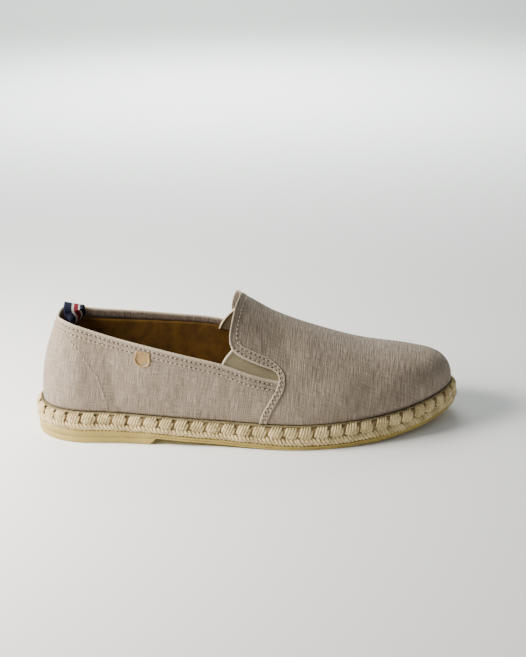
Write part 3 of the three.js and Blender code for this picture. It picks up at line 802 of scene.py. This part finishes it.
rim = smooth_curve(VAMP_RIM, RIM_STEPS)
edge_levels = level_at(rim[:, 0], rim[:, 1], -1)
strip_levels = level_at(rim[:, 2], rim[:, 3], -1)
for levels in (edge_levels, strip_levels):
    levels[0], levels[-1] = 0, 1
edge_p, strip_p, edge_z = (mirrored(rim[:, column]) for column in (0, 2, 1))
edge_r, strip_r = mirrored(edge_levels, 1), mirrored(strip_levels, 1)
even_r = np.linspace(0, 2, 2 * RIM_STEPS - 1)


def droop(p, r):
    """The throat's top edge rolls down a little instead of standing in a peak."""
    return THROAT_DROOP * np.exp(-((p - 140) / 6) ** 2) * np.exp(-((r - 1) / 0.25) ** 2)


def vamp_front(share):
    """Parameters p and r from the strip, share 0, to the toe's tip, share 1; rows by columns."""
    spread = np.clip(share / 0.5, 0, 1)
    spread = spread**2 * (3 - 2 * spread)
    p = strip_p[:, None] + (LENGTH - 0.01 - strip_p[:, None]) * share
    return p, strip_r[:, None] + (even_r - strip_r)[:, None] * spread


lining_q = np.r_[-np.linspace(166, 0, 90), np.linspace(0, 166, 90)[1:]]
lining_top = below_collar(lining_q, FACING_DEPTH * facing_share(lining_q) + 0.6, 1.3)
rise = np.linspace(0, 1, 24)[:, None]
points, faces = facing_outward(*shell(
    *(around(lining_q[None, :], rise * lining_top[None, :], inset) for inset in LINING_FACES)))
make_piece("quarter_lining", points, faces, suede_material, ["upper"])

lining_p, lining_r = vamp_front(np.linspace(0, 1, 60)[None, :])
sunk = droop(lining_p, lining_r)
points, faces = facing_outward(*shell(
    *(over(lining_p, lining_r, inset + sunk) for inset in VAMP_LINING_FACES)))
make_piece("vamp_lining", points, faces, suede_material, ["upper"])

# ============================================================ quarters
# Two pieces of slubby linen canvas closed behind the heel. The top edge is folded in over a cloth
# facing. A plain seam runs down the middle of the heel.
HEM_START = 9            # depth at which the folded hem begins
BODY_ROWS = 34
SEAM_RIDGE = 0.35
# Soft folds and dents of the quarters: side, start s and z, end s and z, width and depth in mm.
QUARTER_FOLDS = [
    (-1, 58, 26, 54, 66, 5, 0.9), (-1, 98, 24, 108, 52, 7, 0.7), (-1, 120, 28, 132, 48, 6, -0.6),
    (-1, 66, 30, 84, 58, 9, -0.6), (-1, 146, 22, 150, 42, 5, 0.5), (-1, 30, 32, 34, 60, 7, -0.5),
    (1, 60, 26, 56, 60, 6, 0.5), (1, 100, 26, 112, 50, 8, -0.45), (1, 132, 24, 140, 44, 6, 0.4),
]


def folds(s, z, side, rows):
    """Depth of the listed soft troughs, positive inwards, each a rounded furrow along a line."""
    total = np.zeros(np.broadcast(s, z, side).shape)
    for fold_side, s0, z0, s1, z1, width, depth in rows:
        reach = np.hypot(s1 - s0, z1 - z0)
        k = ((s - s0) * (s1 - s0) + (z - z0) * (z1 - z0)) / reach**2
        off = ((s - s0) * (z1 - z0) - (z - z0) * (s1 - s0)) / reach
        ends = np.exp(-np.clip(np.abs(k - 0.5) - 0.3, 0, None) ** 2 / 0.06)
        total += np.where(side * fold_side > 0, depth * np.exp(-(off / width) ** 2) * ends, 0)
    return total


# Slubby linen canvas, greige: fine weave with long pale and dark slubs up the shoe, a few across,
# and a matt fuzz. The real weave is about 0.5 mm; it is drawn a little coarser to show.
# Size across and along each yarn in mm, and detail.
YARNS = dict(warp=(0.65, 12, 2), weft=(8, 0.65, 2), slub=(0.7, 16, 1), dark_slub=(1.0, 20, 1),
             blotch=(14, 18, 2), grain=(0.6, 0.6, 1))
# Pattern, where its colour starts to show and where it is full, and the colour.
# The two last layers are painted from the shade attribute: pale folds, wear and painted highlight, and
# painted shade in the grooves.
LINEN_LAYERS = [
    ("warp", 0.34, 0.66, "#a99b8a"), ("weft", 0.46, 0.7, "#7a6d5e"), ("dark_slub", 0.64, 0.82, "#6f6151"),
    ("slub", 0.66, 0.8, "#bcae9a"), ("blotch", 0.5, 1.1, "#857861"), ("wear", 0, 1, "#b8aa92"),
    ("wear", 0, -1, "#54473a"),
]
linen_material, tree, shader = new_material("slub_linen")
cloth = add(tree, "ShaderNodeUVMap", uv_map="cloth")
lean = add(tree, "ShaderNodeMapping", {"Vector": cloth.outputs["UV"], "Rotation": (0, 0, math.radians(-8))})
# The shade attribute: painted highlight and wear above 0, painted shade below 0.
patterns = {"wear": add(tree, "ShaderNodeAttribute", attribute_name="shade").outputs["Fac"]}
for name, (across, along, detail) in YARNS.items():
    stretched = add(tree, "ShaderNodeMapping", {
        "Vector": lean.outputs["Vector"], "Scale": (1 / across, 1 / along, 1)})
    noise = add(tree, "ShaderNodeTexNoise", {
        "Vector": stretched.outputs["Vector"], "Scale": 1, "Detail": detail, "Roughness": 0.55})
    patterns[name] = noise.outputs["Fac"]
# Each layer lies over the last; a colour mix takes its share in input 0 and its colours in 6 and 7.
colour = linear("#7c6e5f")
for name, low, high, layer_colour in LINEN_LAYERS:
    share = add(tree, "ShaderNodeMapRange", {
        "Value": patterns[name], "From Min": low, "From Max": high}, clamp=True)
    layer = add(tree, "ShaderNodeMix", {
        0: share.outputs["Result"], 6: colour, 7: linear(layer_colour)}, data_type="RGBA")
    colour = layer.outputs[2]
height = add(tree, "ShaderNodeMath", {0: patterns["warp"], 1: patterns["grain"]}, operation="ADD")
raised = add(tree, "ShaderNodeMath", {0: height.outputs["Value"], 1: patterns["slub"]}, operation="ADD")
relief = add(tree, "ShaderNodeBump", {
    "Height": raised.outputs["Value"], "Strength": 0.8, "Distance": 0.5 * MM})
feed(tree, shader, {
    "Base Color": colour, "Normal": relief.outputs["Normal"], "Roughness": 0.95, "Sheen Weight": 0.1,
    "Sheen Roughness": 0.5, "Specular IOR Level": 0.25})

quarter_q = np.r_[-173, -np.linspace(170, 0, 130), np.linspace(0, 170, 130)[1:], 173]
tuck = 0.5 * np.clip((np.abs(quarter_q) - 148) / 12, 0, 1)


def quarter_row(depth, inset):
    """One row of the quarters a depth below the collar, with its own inset."""
    return around(quarter_q, below_collar(quarter_q, depth), inset + tuck)


body_top = below_collar(quarter_q, HEM_START)
seam = -SEAM_RIDGE * np.exp(-(quarter_q / 1.1) ** 2)
body = []
for k in np.linspace(0, 1, BODY_ROWS):
    plain = around(quarter_q, k * body_top)
    dents = folds(plain[:, 0] + LENGTH / 2, plain[:, 2], np.sign(quarter_q), QUARTER_FOLDS)
    body.append(around(quarter_q, k * body_top, dents + seam + tuck))
# Depth below the edge, inset and shade of the hem's section: up the outside, over the fold, down.
# The shade column paints the fold pale, wear and painted highlight; painted shade in the grooves by the
# stitch rows and along the hem's foot; the facing darker, its taupe cloth and painted shade.
HEM_SECTION = [
    (8.4, 0.0, 0), (8.0, -0.02, -0.3), (7.7, -0.25, 0.1), (7.3, -0.42, 0.6), (6.9, -0.22, -0.2),
    (6.5, -0.22, -0.2), (6.0, -0.42, 0.1), (5.2, -0.45, 0.1), (4.2, -0.42, 0), (3.6, -0.34, -0.1),
    (3.1, -0.14, -0.25), (2.6, -0.38, 0), (2.0, -0.52, 0.2), (1.3, -0.6, 0.6), (0.7, -0.52, 0.9),
    (0.2, -0.2, 0.9), (-0.15, 0.25, 0.9), (-0.2, 0.75, 0.7), (0.1, 1.25, 0.3), (0.8, 1.6, -0.3),
    (1.8, 1.65, -0.35), (4.0, 1.6, -0.4), (FACING_DEPTH - 0.2, 1.6, -0.35), (FACING_DEPTH, 1.3, -0.3),
    (FACING_DEPTH, 0.9, -0.8),
]
hem = []
for depth, inset, _ in HEM_SECTION:
    on_facing = inset > 1.2 or depth == FACING_DEPTH
    hem.append(quarter_row(depth * (facing_share(quarter_q) if on_facing else 1), inset))
inside_top = below_collar(quarter_q, FACING_DEPTH * facing_share(quarter_q) + 1)
inside = [around(quarter_q, k * inside_top, 0.9 + tuck) for k in (0.9, 0.5, 0.0)]
section = np.stack(body + hem + inside)
rows, columns = section.shape[:2]
wall = grid_faces(rows, columns)
index = np.arange(rows * columns).reshape(rows, columns)
wall += np.stack([index[-1, :-1], index[-1, 1:], index[0, 1:], index[0, :-1]], -1).tolist()
wall += [index[:, 0].tolist(), index[::-1, -1].tolist()]
lengths = np.linalg.norm(np.diff(section[:BODY_ROWS + 14], axis=0), axis=2)
rise = np.concatenate([np.zeros((1, columns)), np.cumsum(lengths, axis=0)], axis=0)
rise = np.concatenate([rise, np.repeat(rise[-1:], rows - len(rise), axis=0) + np.linspace(
    0.5, 8, rows - len(rise))[:, None]])
feather_run = np.linalg.norm(np.diff(section[0], axis=0), axis=1)
across = np.r_[0, np.cumsum(feather_run)] + 0.03 * rise
shade = np.zeros((rows, columns))
shade[BODY_ROWS:BODY_ROWS + len(HEM_SECTION)] = np.array([row[2] for row in HEM_SECTION])[:, None]
points, wall = facing_outward(section.reshape(-1, 3), wall)
make_piece("quarters", points, wall, linen_material, ["upper"],
           uv=np.stack([across, rise], -1).reshape(-1, 2), shade=shade)

# ============================================================ gores
# A wedge of khaki elastic webbing on either side, set behind the quarter's top edge and the vamp,
# with its free slanted edge bound in pale tape.
GORE_BULGE = 1.8         # the free edge bows towards the heel
# Lower and upper edge of each, s and z.
GORE_EDGES = {
    "lateral": (-1, [(128.6, 53.4), (148, 46.6), (168.5, 40.5)], [(138.2, 67.0), (150, 60.4), (168.5, 53)]),
    "medial": (1, [(125, 55), (148, 49), (168.5, 42)], [(137.6, 72.5), (150, 64), (168.5, 53)]),
}
GORE_SAG = 0.5
GORE_FACES = (1.05, 1.95)       # insets of the outer and the inner face
BINDING_RADIUS = 0.9
WEB_RIB = 0.9
WAVE_LENGTH = math.pi / 10      # of a wave pattern at scale 1

# Ribbed elastic webbing: khaki, with fine level ribs and a faint sheen of its covered rubber.
elastic_material, tree, shader = new_material("elastic_webbing")
cloth = add(tree, "ShaderNodeUVMap", uv_map="cloth").outputs["UV"]
ribs = add(tree, "ShaderNodeTexWave", {"Vector": cloth, "Scale": WAVE_LENGTH / WEB_RIB, "Distortion": 0.6},
           bands_direction="Y")
tint = add(tree, "ShaderNodeValToRGB", {"Fac": ribs.outputs["Fac"]}, stops=[(0, "#766c51"), (1, "#8a8063")])
relief = add(tree, "ShaderNodeBump", {"Height": ribs.outputs["Fac"], "Strength": 0.4, "Distance": 0.3 * MM})
feed(tree, shader, {"Base Color": tint.outputs["Color"], "Normal": relief.outputs["Normal"],
                    "Roughness": 0.85, "Sheen Weight": 0.1})

# Plain cotton tape, folded over the edge: pale and dull.
binding_material, tree, shader = new_material("cotton_binding")
feed(tree, shader, {"Base Color": linear("#bfb095"), "Roughness": 0.9})
for name, (side, lower_edge, upper_edge) in GORE_EDGES.items():
    lower, upper = smooth_curve(lower_edge, 30), smooth_curve(upper_edge, 30)
    share = np.linspace(0, 1, 14)[:, None, None]
    web = lower[None] * (1 - share) + upper[None] * share
    web[..., 0] -= GORE_BULGE * np.sin(math.pi * share[..., 0]) * np.linspace(1, 0, 30) ** 3
    web_levels = level_at(web[..., 0].ravel(), web[..., 1].ravel(), side, 1.1).reshape(web.shape[:2])
    sag = GORE_SAG * np.sin(math.pi * np.linspace(0, 1, 14))[:, None]
    outer, inner = (form_point(web[..., 0], web_levels, side, inset + sag) for inset in GORE_FACES)
    points, faces = facing_outward(*shell(outer, inner))
    flat = web.reshape(-1, 2)
    make_piece("gore_web_" + name, points, faces, elastic_material, ["gore_" + name],
               uv=np.concatenate([flat, flat]))
    bead = (outer[:, 0] + inner[:, 0]) / 2
    points, faces = facing_outward(*tube(bead + [0.2, 0, 0], BINDING_RADIUS, sides=8))
    make_piece("gore_binding_" + name, points, faces, binding_material)

# ============================================================ vamp
# One piece of the same linen, lapped over the quarters and gores. A raised folded strip with two
# rows of stitches follows its rear edge from the throat flap's corner down to the sole.
VAMP_LIFT = -0.55
VAMP_CLOTH = 0.9         # thickness
VAMP_FOLDS = [
    (-1, 150, 66, 158, 60, 2.2, 0.35), (-1, 156, 68, 163, 58, 2.2, 0.3), (-1, 146, 74, 152, 68, 2.4, 0.25),
    (-1, 178, 34, 196, 50, 8, 0.6), (-1, 204, 28, 214, 44, 8, -0.5), (-1, 182, 62, 192, 50, 6, -0.5),
    (-1, 166, 68, 176, 52, 5, 0.9), (-1, 222, 34, 236, 44, 7, 0.4),
    (1, 176, 34, 194, 50, 8, 0.45), (1, 206, 28, 216, 44, 8, -0.4), (1, 152, 66, 160, 58, 3, 0.3),
]
# Share of the strip's width, then height over the cloth and shade, on the strip and on the flap.
# The shade columns paint the pale edges and ridges, wear and painted highlight, and painted shade in the
# stitch grooves and beside the strip's outer edge.
STRIP_SECTION = [
    (0.0, 0.2, 0.6, 0.25, 0.7), (0.05, 0.62, 0.9, 0.5, 0.9), (0.11, 0.74, 0.7, 0.55, 0.5),
    (0.18, 0.62, 0.1, 0.4, 0.1), (0.25, 0.3, -0.25, 0.1, 0), (0.31, 0.24, -0.25, 0.04, 0),
    (0.4, 0.46, 0.1, 0.02, 0), (0.5, 0.5, 0.15, 0.0, 0), (0.6, 0.46, 0.1, 0.0, 0),
    (0.69, 0.24, -0.25, -0.02, 0), (0.75, 0.3, -0.25, -0.12, -0.1), (0.82, 0.62, 0.2, -0.04, 0.1),
    (0.9, 0.78, 0.8, 0.04, 0.2), (0.96, 0.6, 0.6, 0.02, 0), (1.0, 0.08, -0.6, 0.0, 0),
    (1.06, 0.0, -0.5, 0.0, 0), (1.2, 0.0, -0.1, 0.0, 0),
]
REST_START = 0.014       # where the rows past the strip take over, as a share of the way to the tip
across = np.array([row[0] for row in STRIP_SECTION])[None, :]
strip_height, strip_shade, flap_height, flap_shade = (
    np.array([row[k] for row in STRIP_SECTION])[None, :] for k in (1, 2, 3, 4))
strip_grid_p = edge_p[:, None] + (strip_p - edge_p)[:, None] * np.minimum(across, 1)
strip_grid_r = edge_r[:, None] + (strip_r - edge_r)[:, None] * np.minimum(across, 1)
past = across[0] > 1
strip_grid_p[:, past], strip_grid_r[:, past] = vamp_front((across[:, past] - 1) * 6 / 130)
rest_p, rest_r = vamp_front(REST_START + (1 - REST_START) * np.linspace(0, 1, 84)[None, :] ** 1.12)
blend = np.clip((edge_z - 64) / 6, 0, 1)[:, None]
vamp_p = np.concatenate([strip_grid_p, rest_p], axis=1)
vamp_r = np.concatenate([strip_grid_r, rest_r], axis=1)
nothing = np.zeros_like(rest_p)
foot_level = 1 - np.abs(1 - rest_r)
# Painted shade: a dark line along the foot of the vamp towards the toe, in the gap where it meets the rand.
toe_seam_painted_shade = -0.9 * np.exp(-(foot_level / 0.022) ** 2) * np.clip((rest_p - 190) / 50, 0, 1)
vamp_height = np.concatenate([strip_height * (1 - blend) + flap_height * blend, nothing], axis=1)
vamp_shade = np.concatenate([strip_shade * (1 - blend) + flap_shade * blend, toe_seam_painted_shade], axis=1)
plain = over(vamp_p, vamp_r)
dents = folds(plain[..., 0] + LENGTH / 2, plain[..., 2], np.where(vamp_r < 1, -1, 1), VAMP_FOLDS)
settle = np.clip((vamp_p - strip_p[:, None]) / 6, 0, 1)
rolled = droop(vamp_p, vamp_r)
outer = over(vamp_p, vamp_r, VAMP_LIFT - vamp_height + dents * settle + rolled)
inner = over(vamp_p, vamp_r, VAMP_LIFT + VAMP_CLOTH + rolled)


def vamp_cloth(p, r):
    """Cloth coordinates in mm: the station, and the way over the foot from the ridge."""
    stations = np.linspace(130, LENGTH - 0.01, 120)
    levels = np.linspace(0, 2, 161)
    table = over(stations[:, None], levels[None, :])
    way = np.cumsum(np.linalg.norm(np.diff(table, axis=1), axis=2), axis=1)
    way = np.concatenate([np.zeros((len(stations), 1)), way], axis=1)
    way -= way[:, 80:81]
    i = np.clip((p - stations[0]) / (stations[1] - stations[0]), 0, len(stations) - 1.001)
    j = np.clip(r * 80, 0, 159.999)
    low_i, low_j = i.astype(int), j.astype(int)
    i, j = i - low_i, j - low_j
    over_foot = ((way[low_i, low_j] * (1 - i) + way[low_i + 1, low_j] * i) * (1 - j)
                 + (way[low_i, low_j + 1] * (1 - i) + way[low_i + 1, low_j + 1] * i) * j)
    return np.stack([700 - p - 0.05 * over_foot, over_foot], -1)


points, faces = facing_outward(*shell(outer, inner))
cloth = vamp_cloth(vamp_p, vamp_r).reshape(-1, 2)
make_piece("vamp", points, faces, linen_material, ["upper"],
           uv=np.concatenate([cloth, cloth]), shade=np.r_[vamp_shade.ravel(), np.zeros(vamp_shade.size)])

# ============================================================ stitches
# Waxed linen thread in even lockstitches: two rows along every folded edge, with the needle holes
# that it pulls, and one fine row round the stiffener inside the heel.
STITCH_PITCH = 3.1
HEM_ROWS = (3.1, 6.7)    # depth of the rows below the collar's edge
# The curve along the front of the heel's stiffener, s and z.
COUNTER_LINE = [
    (25.7, 78), (36.8, 63.6), (39.2, 58.2), (42.1, 51.9), (46.4, 46.3), (47.4, 42), (49.6, 34.8),
    (50.5, 29.7), (51.4, 23.7),
]
TAB_STATION = 77.2       # the side tab and the room that the rows leave for it
TAB_REACH = 6
TAB_MIDDLE = 61
TAB_RISE = 4.4
STITCH = np.array([[-1.05, -0.25, 0], [-0.7, 0.2, 0], [0, 0.34, 0], [0.7, 0.2, 0], [1.05, -0.25, 0]])
STITCH_RADII = np.array([0.2, 0.34, 0.38, 0.34, 0.2])
HOLE = np.array([[-0.75, 0, 0], [-0.45, 0, 0], [0.45, 0, 0], [0.75, 0, 0]])
HOLE_RADII = np.array([0.25, 0.48, 0.48, 0.25])
# Share of the strip's width, lowest and highest place on the edge, and inset of the vamp's rows.
STRIP_ROWS = ((0.28, 17, 66, -0.28), (0.72, 17, 66, -0.28), (0.76, 66, 99, 0.08))
FLAP_FOOT = 66

# Waxed linen thread: the cloth's own pale greige, with a slight wax sheen.
thread_material, tree, shader = new_material("linen_thread")
feed(tree, shader, {"Base Color": linear("#a99b87"), "Roughness": 0.8})

# Painted shade of a needle hole: a dull dark mark beside each stitch that makes it stand out.
hole_material, tree, shader = new_material("needle_hole")
feed(tree, shader, {"Base Color": linear("#4b3f32"), "Roughness": 1})


def stitch_line(surface, a, b, inset):
    """Even stitches along a line of parameters: place, direction and outward axis of each."""
    line = surface(a, b, inset)
    lifted = surface(a, b, inset - 1.0)
    index, _ = even_steps(line, STITCH_PITCH)
    heading = read_at(np.gradient(line, axis=0), index)
    outward = read_at(lifted - line, index)
    hole = np.clip(index + (index[1] - index[0]) / 2, 0, len(line) - 1)
    return read_at(line, index), heading, outward, read_at(line, hole)


def clear_of_tab(spots):
    """Which places the side tab does not cover."""
    beside = (np.abs(spots[:, 0] + LENGTH / 2 - TAB_STATION) < TAB_REACH) & (spots[:, 1] < 0)
    return ~(beside & (np.abs(spots[:, 2] - TAB_MIDDLE) < TAB_RISE))


lines = []
hem_q = np.concatenate([-np.linspace(163, 0, 400), np.linspace(0, 163, 400)[1:]])
for depth in HEM_ROWS:
    lines.append(stitch_line(around, hem_q, below_collar(hem_q, depth), -0.22))
for share, low, high, lift in STRIP_ROWS:
    line_p, line_r = edge_p + (strip_p - edge_p) * share, edge_r + (strip_r - edge_r) * share
    chosen = (edge_z >= low) & (edge_z < high)
    for part in (even_r < 1, even_r >= 1) if low < FLAP_FOOT else (even_r >= 0,):
        rows = np.where(chosen & part)[0]
        fine = np.linspace(rows[0], rows[-1], 400)
        a, b = (np.interp(fine, np.arange(len(line_p)), line) for line in (line_p, line_r))
        lines.append(stitch_line(over, a, b, VAMP_LIFT + lift + droop(a, b)))
counter = smooth_curve(COUNTER_LINE, 200)
for side in (-1, 1):
    counter_level = level_at(counter[:, 0], counter[:, 1], side)
    lines.append(stitch_line(around, side * counter[:, 0], counter_level, 0.05))
stitch_rows, hole_rows = [], []
for number, (spot, heading, outward, hole) in enumerate(lines):
    kept = clear_of_tab(spot)
    stitch_rows.append((spot[kept], heading[kept], outward[kept]))
    if number < len(lines) - 2:      # the stiffener's fine row shows no needle holes
        kept = clear_of_tab(hole)
        hole_rows.append((hole[kept], heading[kept], outward[kept]))
places, along, outward = (np.concatenate(rows) for rows in zip(*stitch_rows))
holes, hole_along, hole_outward = (np.concatenate(rows) for rows in zip(*hole_rows))
scatter("stitches", tube(STITCH, STITCH_RADII), thread_material, places, along, outward,
        np.ones_like(places), turn=0.04, seed=3)
# The needle holes are flat dark marks laid on the cloth: painted shade.
scatter("needle_holes", tube(HOLE, HOLE_RADII, flatten=0.5), hole_material, holes,
        hole_along, hole_outward, np.ones_like(holes), seed=4)

# ============================================================ pull loop
# A striped grosgrain ribbon, folded into a loop and sewn inside the back of the heel. It stands a
# little above the collar and is twisted a quarter turn towards the outer side.
RIBBON_WIDTH = 13.2
RIBBON_THICKNESS = 0.9
LOOP_BASE = (17.8, 67)
LOOP_TOP = (29.7, 87.6)
LOOP_Y = -3
LOOP_SPREAD = 3.6
LOOP_PINCH = 0.8
LOOP_SLOPE = 0.2         # fall of the fold along the shoe
STRIPES = [(0.0, "#10142a"), (0.4, "#bdb7ae"), (0.51, "#6b1a26"), (0.73, "#bdb7ae"), (0.81, "#10142a")]
RIBBON_RIB = 1.05        # really about 0.7 mm, too fine to show

# Woven grosgrain: striped along its length in navy, off-white and dark red, with fine cross ribs.
ribbon_material, tree, shader = new_material("striped_grosgrain")
cloth = add(tree, "ShaderNodeUVMap", uv_map="cloth").outputs["UV"]
split = add(tree, "ShaderNodeSeparateXYZ", {"Vector": cloth})
tint = add(tree, "ShaderNodeValToRGB", {"Fac": split.outputs["Y"]}, stops=STRIPES)
tint.color_ramp.interpolation = "CONSTANT"
ribs = add(tree, "ShaderNodeTexWave", {"Vector": cloth, "Scale": WAVE_LENGTH / RIBBON_RIB},
           bands_direction="X")
relief = add(tree, "ShaderNodeBump", {"Height": ribs.outputs["Fac"], "Strength": 0.5, "Distance": 0.3 * MM})
feed(tree, shader, {"Base Color": tint.outputs["Color"], "Normal": relief.outputs["Normal"],
                    "Roughness": 0.75, "Specular IOR Level": 0.2})


def loop_leg(share, sign):
    """Centre of the ribbon at a share of a leg's height; sign picks the front or the rear leg."""
    turn = math.pi / 2 * share**2
    reach = sign * (LOOP_PINCH + (LOOP_SPREAD - LOOP_PINCH) * share)
    s = LOOP_BASE[0] + (LOOP_TOP[0] - LOOP_BASE[0]) * (1 - (1 - share) ** 3)
    z = LOOP_BASE[1] + (LOOP_TOP[1] - LOOP_SPREAD - RIBBON_THICKNESS / 2 - LOOP_BASE[1]) * share
    return np.stack([s - LENGTH / 2 + reach * np.cos(turn), LOOP_Y - reach * np.sin(turn), z], -1)


leg_share = np.linspace(0, 1, 31)
arch = np.linspace(0, math.pi, 17)[1:-1, None]
over_top = loop_leg(np.ones(1), 0) + LOOP_SPREAD * (np.cos(arch) * [0, 1, 0] + np.sin(arch) * [0, 0, 1])
path = np.concatenate([loop_leg(leg_share, -1), over_top, loop_leg(leg_share[::-1], 1)])
leg_share = np.r_[leg_share, np.ones(len(over_top)), leg_share[::-1]]
turn = math.pi / 2 * leg_share**2
wide = np.stack([np.sin(turn), np.cos(turn), -LOOP_SLOPE * np.sin(turn)], -1)
heading = np.gradient(path, axis=0)
heading /= np.linalg.norm(heading, axis=1)[:, None]
wide -= heading * (wide * heading).sum(1)[:, None]
wide /= np.linalg.norm(wide, axis=1)[:, None]
normal = np.cross(heading, wide)
offset = np.linspace(-0.5, 0.5, 15)
flat = path[:, None] + wide[:, None] * (offset * RIBBON_WIDTH)[:, None]
outer, inner = (flat + normal[:, None] * RIBBON_THICKNESS / 2 * sign for sign in (1, -1))
points, faces = facing_outward(*shell(outer, inner))
length = np.r_[0, np.cumsum(np.linalg.norm(np.diff(path, axis=0), axis=1))]
cloth = np.stack(np.broadcast_arrays(length[:, None], offset + 0.5), -1).reshape(-1, 2)
make_piece("ribbon_loop", points, faces, ribbon_material, ["pull_loop"],
           uv=np.concatenate([cloth, cloth]))

# ============================================================ side tab
# A small plain tab of pale leather with a pressed rim, glued and caught under the collar's hem.
TAB_AT = (TAB_STATION, 64.4)
TAB_WIDTH = 10.4
TAB_DROP = 10.2
TAB_SLOPE = -0.08
LEATHER_PORES = 1.43     # really about 0.2 mm, too fine to show
# Share of the outline and height over the cloth, from the rim's foot to the middle.
TAB_SECTION = [(1.0, 0.0), (1.03, 0.6), (1.0, 1.1), (0.94, 1.3), (0.87, 1.15), (0.82, 0.65),
               (0.76, 0.5), (0.6, 0.5), (0.35, 0.55)]

# Undyed vegetable-tanned leather: pale tan, satin, with soft pores.
leather_material, tree, shader = new_material("pale_leather")
place = add(tree, "ShaderNodeTexCoord").outputs["Object"]
pores = add(tree, "ShaderNodeTexNoise", {"Vector": place, "Scale": per_metre(LEATHER_PORES), "Detail": 3})
relief = add(tree, "ShaderNodeBump", {"Height": pores.outputs["Fac"], "Strength": 0.3, "Distance": 0.2 * MM})
feed(tree, shader, {"Base Color": linear("#9a7c4c"), "Normal": relief.outputs["Normal"], "Roughness": 0.55})

half_tab = TAB_WIDTH / 2
angle = np.linspace(math.pi, 2 * math.pi, 33)
bottom_half = np.stack([np.cos(angle) * half_tab, half_tab - TAB_DROP + np.sin(angle) * half_tab], -1)
top_edge = np.stack([np.linspace(1, -1, 9)[:-1] * half_tab, np.zeros(8)], -1)
outline = np.concatenate([bottom_half, top_edge])
heart = np.array([0, -TAB_DROP * 0.45])
rings = []
for share, lift in TAB_SECTION:
    shape = heart + (outline - heart) * share
    s = TAB_AT[0] + shape[:, 0]
    z = TAB_AT[1] + shape[:, 1] + TAB_SLOPE * shape[:, 0]
    rings.append(form_point(s, level_at(s, z, -1), -1, 0.1 - lift))
count = len(outline)
points = np.concatenate(rings)
faces = grid_faces(len(rings), count, closed=True)
faces += [list(range(count))[::-1], [(len(rings) - 1) * count + k for k in range(count)]]
points, faces = facing_outward(points, faces)
make_piece("leather_tab", points, faces, leather_material, ["side_tab"])
